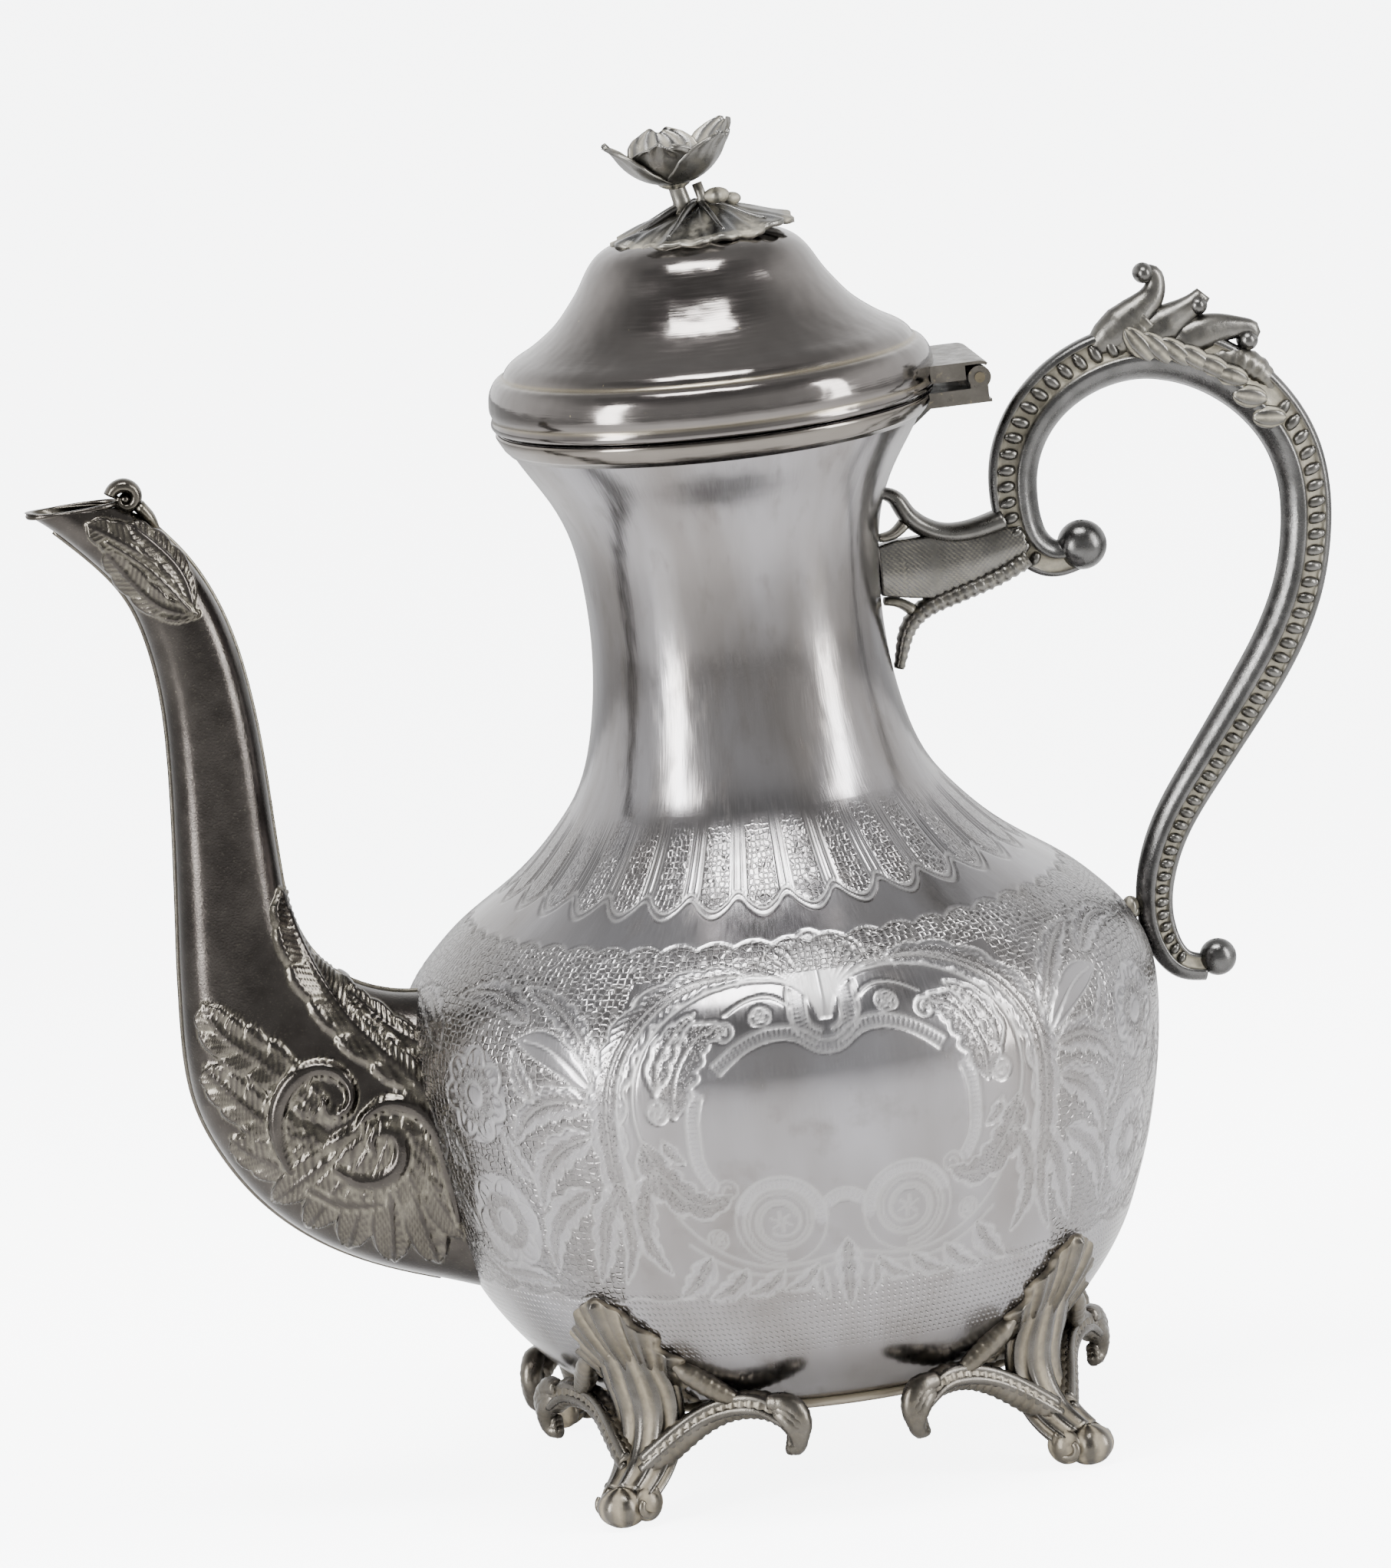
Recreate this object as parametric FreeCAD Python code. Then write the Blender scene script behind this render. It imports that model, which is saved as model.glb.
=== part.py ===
"""Footed coffee pot in plated white metal: a spun pear-shaped vessel on four cast feet, a swan-neck spout
soldered up from two half shells, a cast scroll handle, and a domed lid on a box hinge with a flower finial.

Frame: millimetres, +Z up, table at Z = 0. The spout points to -X and the handle to +X, and the origin is the
middle of the whole pot's footprint, so the vessel's own axis stands at X = AXIS_X.
Every shape below is drawn about the vessel's axis and moved by AXIS_X when it is exported.
"""
import FreeCAD
import Part
import math
import os

V = FreeCAD.Vector
Y_AXIS = V(0, 1, 0)
Z_AXIS = V(0, 0, 1)

# Driving dimensions
SPOUT_REACH = 132.4          # vessel axis to the tip of the beak
HANDLE_REACH = 116.7         # vessel axis to the handle's outermost point
AXIS_X = (SPOUT_REACH - HANDLE_REACH) / 2
VESSEL_WALL = 1.0            # spun sheet
CAST_WALL = 1.2              # spout half shells
BASE_Z = 19.0                # bottom edge of the spun vessel
MOUTH_Z = 202.8              # top edge of the neck
LID_GAP = 0.4                # daylight between the neck and the closed lid
LID_WALL = 0.9
LID_RIM_R = 42.4
LID_TOP_Z = 237.4
COLLAR_R = 36.2              # the lid's locating collar, inside the mouth
COLLAR_DROP = 5.4
FOOT_COUNT = 4
FOOT_PAD_R = 64.0            # vessel axis to the middle of each foot's pad
PIN_X = 49.3                 # hinge pin, from the vessel's axis
PIN_Z = 204.6
PIN_R = 1.0
PIN_RUNNING = 0.05           # radial clearance in the lid leaf's knuckle
KNUCKLE_R = 2.2
HINGE_HALF = 14.0            # half the hinge's width
KNUCKLE_HALF = 6.9           # half the lid leaf's knuckle
SIDE_GAP = 0.3               # between neighbouring knuckles
STUD_R = 1.9
BIG = 400.0

# Outlines as (radius, height), each a smooth curve through its points
VESSEL_LINE = [
    (44.0, BASE_Z), (53.5, 27.0), (60.4, 36.1), (65.7, 47.5), (70.0, 62.0), (72.6, 78.0), (72.2, 91.0),
    (68.0, 99.6), (60.6, 107.2), (52.6, 112.9), (45.4, 118.4), (38.6, 125.4), (33.7, 132.2), (30.6, 140.5),
    (28.7, 150.5), (27.9, 161.5), (28.3, 171.5), (29.8, 181.0), (33.0, 188.8), (37.6, 196.2), (41.2, MOUTH_Z),
]
LID_DOME_LINE = [
    (38.3, 214.8), (34.9, 216.9), (31.3, 219.3), (28.0, 222.1), (25.0, 225.6), (22.6, 229.3), (20.4, 232.7),
    (17.2, 235.2), (12.0, 236.8), (6.0, 237.3), (0.0, LID_TOP_Z),
]
# Spout stations from the root to the open mouth: outer edge (x, z), inner edge (x, z), half width across
SPOUT_STATIONS = [
    ((-58.0, 39.2), (-60.0, 98.4), 18.4),
    ((-70.0, 43.0), (-70.0, 98.8), 17.8),
    ((-84.5, 48.8), (-79.0, 101.2), 16.2),
    ((-96.5, 56.6), (-84.9, 105.6), 14.4),
    ((-106.4, 67.6), (-88.0, 110.0), 12.4),
    ((-112.3, 80.5), (-89.8, 114.4), 10.6),
    ((-113.9, 95.0), (-90.8, 119.0), 9.2),
    ((-112.9, 111.0), (-91.5, 124.6), 8.3),
    ((-111.4, 130.0), (-92.2, 133.5), 7.7),
    ((-110.4, 147.0), (-92.7, 147.0), 7.3),
    ((-110.8, 164.0), (-94.3, 162.0), 6.9),
    ((-113.2, 176.0), (-98.0, 177.0), 6.6),
    ((-117.6, 184.6), (-102.4, 185.6), 6.4),
    ((-122.9, 190.9), (-106.4, 192.2), 6.3),
    ((-127.4, 195.8), (-110.6, 196.4), 6.1),
    ((-SPOUT_REACH, 199.4), (-114.6, 198.4), 5.6),
]
# Handle centre line as (x, z), from the upper scroll's ball round to the lower one's
HANDLE_LINE = [
    (66.6, 166.6), (61.6, 166.3), (57.4, 169.9), (55.7, 176.5), (56.2, 185.0), (60.0, 193.2), (66.8, 199.5),
    (75.0, 203.0), (84.0, 203.7), (92.6, 201.3), (100.2, 196.6), (106.0, 190.4), (110.0, 182.8),
    (111.6, 174.0), (111.0, 165.0), (108.7, 155.6), (104.2, 146.0), (98.0, 136.8), (91.6, 128.4),
    (85.3, 120.3), (79.5, 112.0), (76.0, 104.0), (74.7, 96.0), (76.0, 89.0), (79.2, 84.6), (83.6, 83.4),
]
HANDLE_SECTIONS = 34
HANDLE_HALF = (5.6, 3.7)     # in-plane half thickness at the top of the bow and at the lower scroll
HANDLE_HALF_Y = (4.6, 3.5)
UPPER_BALL = ((67.7, 168.1), 4.9)
LOWER_BALL = ((86.0, 85.1), 3.7)
CREST_LINE = [
    (74.0, 205.0), (78.0, 210.2), (82.6, 212.4), (83.9, 214.6), (82.4, 217.4), (83.4, 220.2), (86.4, 220.9),
    (89.2, 219.2), (90.9, 215.6), (93.0, 213.8), (95.8, 214.3), (98.2, 212.3), (99.2, 209.6), (101.8, 208.8),
    (105.0, 206.6), (106.0, 203.2), (105.0, 199.8), (101.0, 197.5), (92.0, 201.5), (82.0, 204.0),
]
CREST_HALF_Y = 2.8
# The socket that carries the upper scroll, drawn as one closed outline
BRACKET_LINE = [
    (27.0, 182.6), (33.6, 182.7), (34.4, 179.4), (37.2, 175.7), (41.4, 173.9), (46.2, 173.9), (54.0, 175.8),
    (58.5, 166.5), (53.8, 163.7), (47.2, 161.9), (40.7, 160.1), (35.6, 158.3), (32.5, 155.6), (31.3, 152.0),
    (31.6, 148.4), (27.0, 147.8),
]
BRACKET_HALF_Y = 4.4
BRACKET_WINDOWS = [((29.6, 177.4), 2.0, 3.6), ((29.5, 158.6), 1.9, 3.0)]   # centre, half width, half height
# One foot's leg in its own radial plane: centre (radius, z), half thickness, half width
FOOT_LEG = [
    ((53.4, 27.5), 1.6, 5.0), ((51.6, 21.0), 2.2, 5.6), ((52.6, 14.6), 2.6, 4.6), ((56.0, 9.4), 2.9, 4.0),
    ((60.4, 5.8), 3.0, 4.0), ((64.0, 4.2), 2.6, 3.6),
]
TOE = ((64.0, 3.7), 4.3)     # centre (radius, z) and radius of the ball that ends the leg
PAD_R = 2.2                  # the flat that stands on the table
# One side arm: (radius, turn in degrees, height, half thickness)
FOOT_ARM = [
    (55.6, 2.0, 10.4, 2.4), (53.4, 9.0, 14.6, 2.3), (51.4, 16.5, 18.4, 2.1), (51.4, 24.0, 20.0, 2.1),
    (52.6, 30.5, 18.4, 1.9), (53.6, 34.0, 15.0, 1.6),
]
SHIELD_THICK = 1.7
# The stretch of the vessel's outline that the foot's leaf lies on, and the leaf's own outline as (across, z)
FOOT_SKIN_LINE = [(44.0, BASE_Z), (53.5, 27.0), (60.4, 36.1), (65.7, 47.5), (70.0, 62.0)]
SHIELD_LINE = [
    (0, 45.0), (-5, 39.5), (-9.5, 35.5), (-12.5, 29.5), (-10.5, 23.6), (-5, 20.6), (5, 20.6), (10.5, 23.6),
    (12.5, 29.5), (9.5, 35.5), (5, 39.5),
]


def point(pair):
    """An (x, z) pair as a point of the pot's plane of symmetry."""
    return V(pair[0], 0, pair[1])


def smooth(points, closed=False):
    curve = Part.BSplineCurve()
    curve.interpolate([V(p) for p in points], PeriodicFlag=closed)
    return curve


def inset(pairs, distance):
    """The outline's points, each moved to the left of its run, which is towards the axis on a rising one."""
    curve = smooth([point(p) for p in pairs])
    moved = []
    for pair in pairs:
        along = curve.tangent(curve.parameter(point(pair)))[0]
        moved.append((max(pair[0] - along.z * distance, 0.0), pair[1] + along.x * distance))
    return moved


def turned(edges):
    """The solid of revolution whose outline starts and ends on the vessel's axis."""
    return Part.Face(Part.Wire(edges)).revolve(V(0, 0, 0), Z_AXIS, 360)


def polygon_turned(pairs):
    return Part.Face(Part.makePolygon([point(p) for p in pairs + pairs[:1]])).revolve(V(0, 0, 0), Z_AXIS, 360)


def filled(pairs, bottom=None):
    """A solid of revolution under one smooth outline, closed by its end radii and the axis."""
    pts = [point(p) for p in pairs]
    curve = smooth(pts).toShape()
    low, high = pairs[0], pairs[-1]
    edges = [Part.makeLine(point((0, low[1])), pts[0]), curve]
    if high[0] > 0:
        edges.append(Part.makeLine(pts[-1], point((0, high[1]))))
    edges.append(Part.makeLine(point((0, high[1])), point((0, low[1]))))
    return turned(edges)


def box(low, high):
    size = [high[i] - low[i] for i in range(3)]
    return Part.makeBox(*size, V(*low))


def extruded(wire, half_y):
    face = Part.Face(wire)
    face.translate(V(0, -half_y, 0))
    return face.extrude(V(0, 2 * half_y, 0))


def rod_y(x, z, radius, half):
    return Part.makeCylinder(radius, 2 * half, V(x, -half, z), Y_AXIS)


def oval(outer, inner, half_y, count=12):
    """A closed section standing across the plane of symmetry, between two edge points of that plane."""
    centre, reach = (outer + inner) * 0.5, (inner - outer) * 0.5
    turns = [2 * math.pi * i / count for i in range(count)]
    ring = [centre + reach * math.cos(t) + Y_AXIS * (half_y * math.sin(t)) for t in turns]
    return Part.Wire(smooth(ring, closed=True).toShape())


def loft(wires):
    solid = Part.makeLoft(wires, True, False)
    if solid.Volume < 0:
        solid.reverse()
    return solid


def main_solid(shape):
    return max(shape.Solids, key=lambda s: s.Volume)


# The vessel

def vessel_outside():
    return filled(VESSEL_LINE)


def strainer_holes():
    """Seven holes through the vessel's wall behind the spout: one in the middle and a ring of six."""
    radius, ring_r, middle_z = 2.6, 8.6, 70.0
    places = [(0.0, middle_z)]
    for i in range(6):
        turn = math.radians(60 * i + 13)
        places.append((ring_r * math.sin(turn), middle_z + ring_r * math.cos(turn)))
    return [Part.makeCylinder(radius, 20, V(-78, y, z), V(1, 0, 0)) for y, z in places]


def vessel_shell(outside):
    inner = inset(VESSEL_LINE, VESSEL_WALL)
    inner[0] = (inner[0][0], BASE_Z)
    inner[-1] = (inner[-1][0], MOUTH_Z)
    return main_solid(main_solid(outside.cut(filled(inner))).cut(strainer_holes()))


def base_plate(outside):
    """The soldered bottom: a disc pushed up in the middle, with a lip round the vessel's lower edge."""
    lip_r, panel_r, disc_z, rise = 45.4, 42.0, 18.0, 2.4
    below = [(0, disc_z + rise), (34, disc_z + rise), (40, disc_z)]
    above = [(40.6, BASE_Z), (34.4, BASE_Z + rise), (0, BASE_Z + rise)]
    rim = polygon_turned(below + [(lip_r, disc_z), (lip_r, BASE_Z + 1.2), (lip_r - 1.0, BASE_Z + 1.2),
                                  (44.0, BASE_Z)] + above)
    panel = polygon_turned(below + [(panel_r, disc_z), (panel_r, BASE_Z)] + above)
    return main_solid(main_solid(rim.cut(outside)).fuse(panel))


def mouth_band_outside():
    low, bulge = 198.4, 0.8
    pts = [(38.4 + bulge, low), (40.2 + bulge, low + 1.4), (41.0 + bulge, MOUTH_Z - 1.2),
           (41.2 + bulge / 2, MOUTH_Z)]
    return filled(pts)


# The spout

def half_ring(station, side, count=9):
    """Half of a station's hollow section: the outer arc, the inner arc and the two seam edges."""
    outer, inner = point(station[0]), point(station[1])
    centre, reach = (outer + inner) * 0.5, (inner - outer) * 0.5

    def arc(wall):
        along, half_y = reach * (1 - wall / reach.Length), side * (station[2] - wall)
        turns = [math.pi * i / (count - 1) for i in range(count)]
        return [centre + along * math.cos(t) + Y_AXIS * (half_y * math.sin(t)) for t in turns]

    out, back = arc(0), arc(CAST_WALL)
    back.reverse()
    return Part.Wire([smooth(out).toShape(), Part.makeLine(out[-1], back[0]), smooth(back).toShape(),
                      Part.makeLine(back[-1], out[0])])


def spout_half(vessel, side):
    return main_solid(loft([half_ring(s, side) for s in SPOUT_STATIONS]).cut(vessel))


def spout_curl(spout):
    """The little scroll that stands on the spout behind its open mouth."""
    x, z, radius, half = -112.9, 199.6, 2.9, 1.6
    disc = rod_y(x, z, radius, half).fuse(rod_y(x - 1.0, z + 0.2, 1.1, half + 0.5))
    foot_block = box((-114.4, -half, 195.4), (-110.6, half, z))
    shape = disc.fuse(foot_block)
    for piece in spout:
        shape = shape.cut(piece)
    return main_solid(shape)


# The handle

def handle_bow():
    """The scroll itself: ovals square to the centre line, thickest at the top of the bow."""
    line = smooth([point(p) for p in HANDLE_LINE])
    first, last = line.FirstParameter, line.LastParameter
    top = line.parameter(point(HANDLE_LINE[8]))
    wires = []
    for i in range(HANDLE_SECTIONS + 1):
        at = first + (last - first) * i / HANDLE_SECTIONS
        centre, along = line.value(at), line.tangent(at)[0]
        share = (top - at) / (top - first) * 0.55 if at < top else (at - top) / (last - top)
        half, half_y = (big + (small - big) * share for big, small in (HANDLE_HALF, HANDLE_HALF_Y))
        across = V(-along.z, 0, along.x)
        wires.append(oval(centre + across * half, centre - across * half, half_y))
    return loft(wires)


def ball(place):
    (x, z), radius = place
    return Part.makeSphere(radius, V(x, 0, z))


def handle_crest(bow):
    outline = Part.Wire(smooth([point(p) for p in CREST_LINE], closed=True).toShape())
    return main_solid(extruded(outline, CREST_HALF_Y).cut(bow))


def handle_bracket(vessel, bow):
    pts = [point(p) for p in BRACKET_LINE]
    block = extruded(Part.makePolygon(pts + pts[:1]), BRACKET_HALF_Y)
    for (x, z), half_x, half_z in BRACKET_WINDOWS:
        window = Part.Ellipse(point((x, z + half_z)), point((x + half_x, z)), point((x, z)))
        block = block.cut(extruded(Part.Wire(window.toShape()), 10))
    return main_solid(block.cut(vessel).cut(bow))


def lower_lug(vessel, grip):
    """The solder pad between the handle's lower scroll and the vessel."""
    pad = box((68.0, -2.4, 94.6), (73.0, 2.4, 99.2))
    return main_solid(pad.cut(vessel).cut(grip))


# The feet

def foot_shield(vessel):
    """The leaf on the vessel's wall: a patch of constant thickness cut to a pointed outline."""
    skin = filled(inset(FOOT_SKIN_LINE, -SHIELD_THICK)).cut(vessel)
    leaf = Part.Face(Part.makePolygon([V(30, y, z) for y, z in SHIELD_LINE + SHIELD_LINE[:1]]))
    return main_solid(skin.common(leaf.extrude(V(50, 0, 0))))


def foot(vessel, plate):
    legs = []
    for i, ((r, z), thick, wide) in enumerate(FOOT_LEG):
        before, after = FOOT_LEG[max(i - 1, 0)][0], FOOT_LEG[min(i + 1, len(FOOT_LEG) - 1)][0]
        along = V(after[0] - before[0], 0, after[1] - before[1]).normalize()
        across = V(-along.z, 0, along.x)
        centre = point((r, z))
        legs.append(oval(centre - across * thick, centre + across * thick, wide))
    shape = loft(legs).fuse([ball(TOE), foot_shield(vessel)])
    for side in (-1, 1):
        pts = [V(r * math.cos(math.radians(a)), side * r * math.sin(math.radians(a)), z)
               for r, a, z, _ in FOOT_ARM]
        line = smooth(pts)
        rings = []
        for (_, _, _, half), centre in zip(FOOT_ARM, pts):
            along = line.tangent(line.parameter(centre))[0]
            rings.append(Part.Wire(Part.Circle(centre, along, half).toShape()))
        shape = shape.fuse([loft(rings), Part.makeSphere(FOOT_ARM[-1][3] + 0.7, pts[-1])])
    pad = Part.makeCylinder(PAD_R, 1.0, V(FOOT_PAD_R, 0, 0))
    above_table = box((0, -BIG, 0), (BIG, BIG, BIG))
    return main_solid(shape.common(above_table).fuse(pad).cut(vessel).cut(plate))


# The lid

def lid_solid(shrink):
    """The lid's outer form, or its hollow when shrink is the wall."""
    bottom = MOUTH_Z + LID_GAP
    dome = inset(LID_DOME_LINE, shrink) if shrink else LID_DOME_LINE
    rim = LID_RIM_R - shrink
    pts = [(0, bottom), (rim - 0.5, bottom), (rim, bottom + 0.6), (rim - 0.2, 208.2 - shrink / 2),
           (rim - 1.9, 209.6 - shrink / 2)]
    edges = [Part.makeLine(point(a), point(b)) for a, b in zip(pts, pts[1:])]
    torus = Part.Arc(point(pts[-1]), point((rim - 1.9, 212.6 - shrink)), point(dome[0])).toShape()
    curve = smooth([point(p) for p in dome]).toShape()
    close = Part.makeLine(point(dome[-1]), point((0, bottom)))
    return turned(edges + [torus, curve, close])


def lid_dome(outside):
    hole = Part.makeCylinder(STUD_R + 0.2, 20, V(0, 0, LID_TOP_Z - 10))
    hollow = lid_solid(LID_WALL)
    below = Part.makeCylinder(LID_RIM_R - LID_WALL - 0.5, 2, V(0, 0, MOUTH_Z - 1))
    return main_solid(outside.cut(hollow).cut(below).cut(hole))


def lid_collar():
    """The locating ring inside the mouth, with the flange that closes the lid's rim from below."""
    top = MOUTH_Z + LID_GAP
    wall = 0.8
    flange_r = LID_RIM_R - LID_WALL - 0.5
    return polygon_turned([(COLLAR_R - wall, top - COLLAR_DROP), (COLLAR_R, top - COLLAR_DROP),
                           (COLLAR_R, top), (flange_r, top), (flange_r + 0.5, top + 0.6),
                           (flange_r + 0.5, top + wall),
                           (COLLAR_R - wall, top + wall)])


# The finial

def finial_leaf(lid, stud):
    """The curled leaf that the flower grows from, bedded on the lid's crown."""
    cap = filled([(16.2, 234.0), (16.6, 236.0), (14.6, 238.6), (10.4, 240.4), (6.0, 242.0), (2.4, 243.2),
                  (0.0, 243.4)])
    cap.translate(V(1.2, 0, 0))
    return main_solid(cap.cut(lid).cut(stud))


def finial_stem(leaf, stud):
    stem = Part.makeCone(2.2, 1.5, 5.6, V(-2.2, 0, 241.4), V(-0.12, 0, 1))
    return main_solid(stem.cut(leaf).cut(stud))


def finial_flower(stem):
    """An open cup of five petals, tipped a little towards the spout."""
    outer = [(0.0, 0.0), (2.6, 0.5), (6.2, 2.6), (9.2, 6.0), (11.4, 10.6)]
    inner = [(10.7, 11.0), (8.4, 6.6), (5.4, 3.6), (2.4, 1.6), (0.0, 1.3)]
    edges = [smooth([point(p) for p in outer]).toShape(), Part.makeLine(point(outer[-1]), point(inner[0])),
             smooth([point(p) for p in inner]).toShape(), Part.makeLine(point(inner[-1]), point(outer[0]))]
    cup = turned(edges)
    petals = 5
    for i in range(petals):
        notch = Part.makeCone(0.6, 3.0, 12, V(3, 0, 11.6), V(1, 0, 0))
        notch.rotate(V(0, 0, 0), Z_AXIS, 360.0 / petals * (i + 0.5))
        cup = cup.cut(notch)
    cup.rotate(V(0, 0, 0), Y_AXIS, -6)
    cup.translate(V(-2.9, 0, 246.0))
    return main_solid(cup.cut(stem))


def finial_fasteners(lid_shell):
    """The stud cast into the leaf, and the washer and hexagon nut that hold it inside the lid."""
    washer_r, washer_low, nut_r, nut_height, stud_low = 5.2, 235.3, 4.0, 3.2, 230.6
    stud = Part.makeCylinder(STUD_R, 242.0 - stud_low, V(0, 0, stud_low))
    washer = Part.makeCylinder(washer_r, 1.4, V(0, 0, washer_low)).cut(stud).cut(lid_shell)
    corners = [V(nut_r * math.cos(math.radians(60 * i)), nut_r * math.sin(math.radians(60 * i)),
                 washer_low - nut_height) for i in range(7)]
    nut = Part.Face(Part.makePolygon(corners)).extrude(V(0, 0, nut_height)).cut(stud)
    return stud, main_solid(washer), nut


# The hinge

def hinge_bracket(neck):
    """The fixed half: a plate under the pin, with an upright knuckle at each end, on the mouth band."""
    low, top, inner_x = 200.3, 202.6, 36.0
    plate = box((inner_x, -HINGE_HALF, low), (PIN_X - KNUCKLE_R - 0.5, HINGE_HALF, top))
    floor = box((inner_x, -HINGE_HALF, low - 0.6), (PIN_X + 2.0, HINGE_HALF, low))
    shape = plate.fuse(floor)
    inner_y = KNUCKLE_HALF + SIDE_GAP
    for side in (-1, 1):
        ys = sorted((side * inner_y, side * HINGE_HALF))
        ear = box((PIN_X - KNUCKLE_R - 0.6, ys[0], low), (PIN_X + 1.5, ys[1], top))
        post = box((PIN_X - 1.9, ys[0], low), (PIN_X + 1.5, ys[1], PIN_Z))
        knuckle = Part.makeCylinder(KNUCKLE_R, ys[1] - ys[0], V(PIN_X, ys[0], PIN_Z), Y_AXIS)
        shape = shape.fuse([ear, post, knuckle])
    return main_solid(shape.removeSplitter().cut(rod_y(PIN_X, PIN_Z, PIN_R, 20)).cut(neck))


def leaf_top():
    return PIN_Z + KNUCKLE_R + 0.35


def hinge_leaf(lid):
    """The moving half: a plate on the lid's rim with the middle knuckle."""
    low, inner_x = PIN_Z - 0.2, 36.0
    plate = box((inner_x, -HINGE_HALF, low), (PIN_X - KNUCKLE_R - 0.4, HINGE_HALF, leaf_top()))
    tongue = box((inner_x, -KNUCKLE_HALF, low), (PIN_X, KNUCKLE_HALF, leaf_top()))
    knuckle = rod_y(PIN_X, PIN_Z, KNUCKLE_R, KNUCKLE_HALF)
    shape = plate.fuse([tongue, knuckle]).removeSplitter()
    return main_solid(shape.cut(rod_y(PIN_X, PIN_Z, PIN_R + PIN_RUNNING, 20)).cut(lid))


def hinge_cover(lid):
    """The thin plate over the hinge, its outer edge rolled down over the knuckles."""
    inside, sheet, roll_end = leaf_top() - PIN_Z, 0.6, math.radians(55)
    flat_end = PIN_X
    plate = box((36.0, -HINGE_HALF, leaf_top()), (flat_end, HINGE_HALF, leaf_top() + sheet))

    def at(radius, angle):
        return point((PIN_X + radius * math.cos(angle), PIN_Z + radius * math.sin(angle)))

    top, middle = math.radians(90), math.radians(72)
    outer = inside + sheet
    edges = [Part.Arc(at(inside, top), at(inside, middle), at(inside, roll_end)).toShape(),
             Part.makeLine(at(inside, roll_end), at(outer, roll_end)),
             Part.Arc(at(outer, roll_end), at(outer, middle), at(outer, top)).toShape(),
             Part.makeLine(at(outer, top), at(inside, top))]
    return main_solid(plate.fuse(extruded(Part.Wire(edges), HINGE_HALF)).cut(lid))


def hinge_brace(neck):
    """A small gusset under the fixed plate."""
    pts = [point(p) for p in [(35.0, 193.0), (38.0, 195.4), (43.6, 199.7), (36.0, 199.7), (35.0, 193.0)]]
    return main_solid(extruded(Part.makePolygon(pts), 1.6).cut(neck))


def build():
    outside = vessel_outside()
    shell = vessel_shell(outside)
    plate = base_plate(outside)
    band_outside = mouth_band_outside()
    band = main_solid(band_outside.cut(outside))
    neck = outside.fuse(band_outside)
    spout = [spout_half(outside, side) for side in (-1, 1)]
    bow = main_solid(handle_bow().cut(outside))
    bracket = handle_bracket(outside, bow)
    lid_outside = lid_solid(0)
    lid_shell = lid_dome(lid_outside)
    stud, washer, nut = finial_fasteners(lid_shell)
    leaf = finial_leaf(lid_outside, stud)
    stem = finial_stem(leaf, stud)
    parts = {
        "vessel_shell": shell, "base_plate": plate, "mouth_band": band,
        "spout_near_half": spout[0], "spout_far_half": spout[1], "spout_curl": spout_curl(spout),
        "handle_scroll": bow, "handle_crest": handle_crest(bow),
        "handle_upper_ball": main_solid(ball(UPPER_BALL).cut(bow).cut(bracket)),
        "handle_lower_ball": main_solid(ball(LOWER_BALL).cut(bow)),
        "handle_bracket": bracket, "handle_lower_lug": lower_lug(outside, bow),
        "lid_dome": lid_shell, "lid_collar": lid_collar(),
        "finial_leaf": leaf, "finial_stem": stem, "finial_flower": finial_flower(stem),
        "finial_stud": stud, "finial_washer": washer, "finial_nut": main_solid(nut),
        "hinge_bracket": hinge_bracket(neck), "hinge_leaf": hinge_leaf(lid_outside),
        "hinge_cover": hinge_cover(lid_outside), "hinge_pin": rod_y(PIN_X, PIN_Z, PIN_R, HINGE_HALF + 0.4),
        "hinge_brace": hinge_brace(neck),
    }
    one_foot = foot(outside, plate)
    for i in range(FOOT_COUNT):
        turn = 45 + 360 / FOOT_COUNT * i
        parts[f"foot_{i + 1}"] = one_foot.copy()
        parts[f"foot_{i + 1}"].rotate(V(0, 0, 0), Z_AXIS, turn)
    return parts


def main():
    os.makedirs("parts", exist_ok=True)
    for name, shape in build().items():
        shape.translate(V(AXIS_X, 0, 0))
        if not shape.isValid() or not shape.Solids:
            print("not a sound solid:", name)
        shape.exportStep(f"parts/{name}.step")
        b = shape.BoundBox
        print(f"{name}: {len(shape.Solids)} solid, {shape.Volume / 1000:.2f} cm3,"
              f" x {b.XMin:.1f} {b.XMax:.1f}, y {b.YMin:.1f} {b.YMax:.1f}, z {b.ZMin:.1f} {b.ZMax:.1f}")


main()
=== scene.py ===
"""Looks for a footed, engraved coffee pot in worn silver plate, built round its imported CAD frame.

Shapes are drawn in millimetres about the vessel's own axis (spout to -X, handle to +X, table at Z = 0) and
moved to the frame's metres in piece().
"""
import bpy
import math
import numpy as np
from mathutils import Matrix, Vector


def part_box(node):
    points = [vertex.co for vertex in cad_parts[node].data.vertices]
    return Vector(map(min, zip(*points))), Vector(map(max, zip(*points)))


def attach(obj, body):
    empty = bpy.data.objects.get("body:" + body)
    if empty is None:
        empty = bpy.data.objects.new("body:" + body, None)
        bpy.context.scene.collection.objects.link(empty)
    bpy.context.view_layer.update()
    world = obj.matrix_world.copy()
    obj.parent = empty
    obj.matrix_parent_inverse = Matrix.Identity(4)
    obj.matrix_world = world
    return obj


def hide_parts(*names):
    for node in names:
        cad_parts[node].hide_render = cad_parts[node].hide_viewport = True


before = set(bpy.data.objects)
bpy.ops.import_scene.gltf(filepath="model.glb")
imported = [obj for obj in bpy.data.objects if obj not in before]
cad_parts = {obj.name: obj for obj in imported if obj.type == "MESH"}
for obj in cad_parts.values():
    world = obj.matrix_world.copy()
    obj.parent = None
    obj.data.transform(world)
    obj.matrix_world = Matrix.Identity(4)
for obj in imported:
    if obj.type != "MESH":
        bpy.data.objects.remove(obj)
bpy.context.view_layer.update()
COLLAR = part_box("lid_collar")
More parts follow.
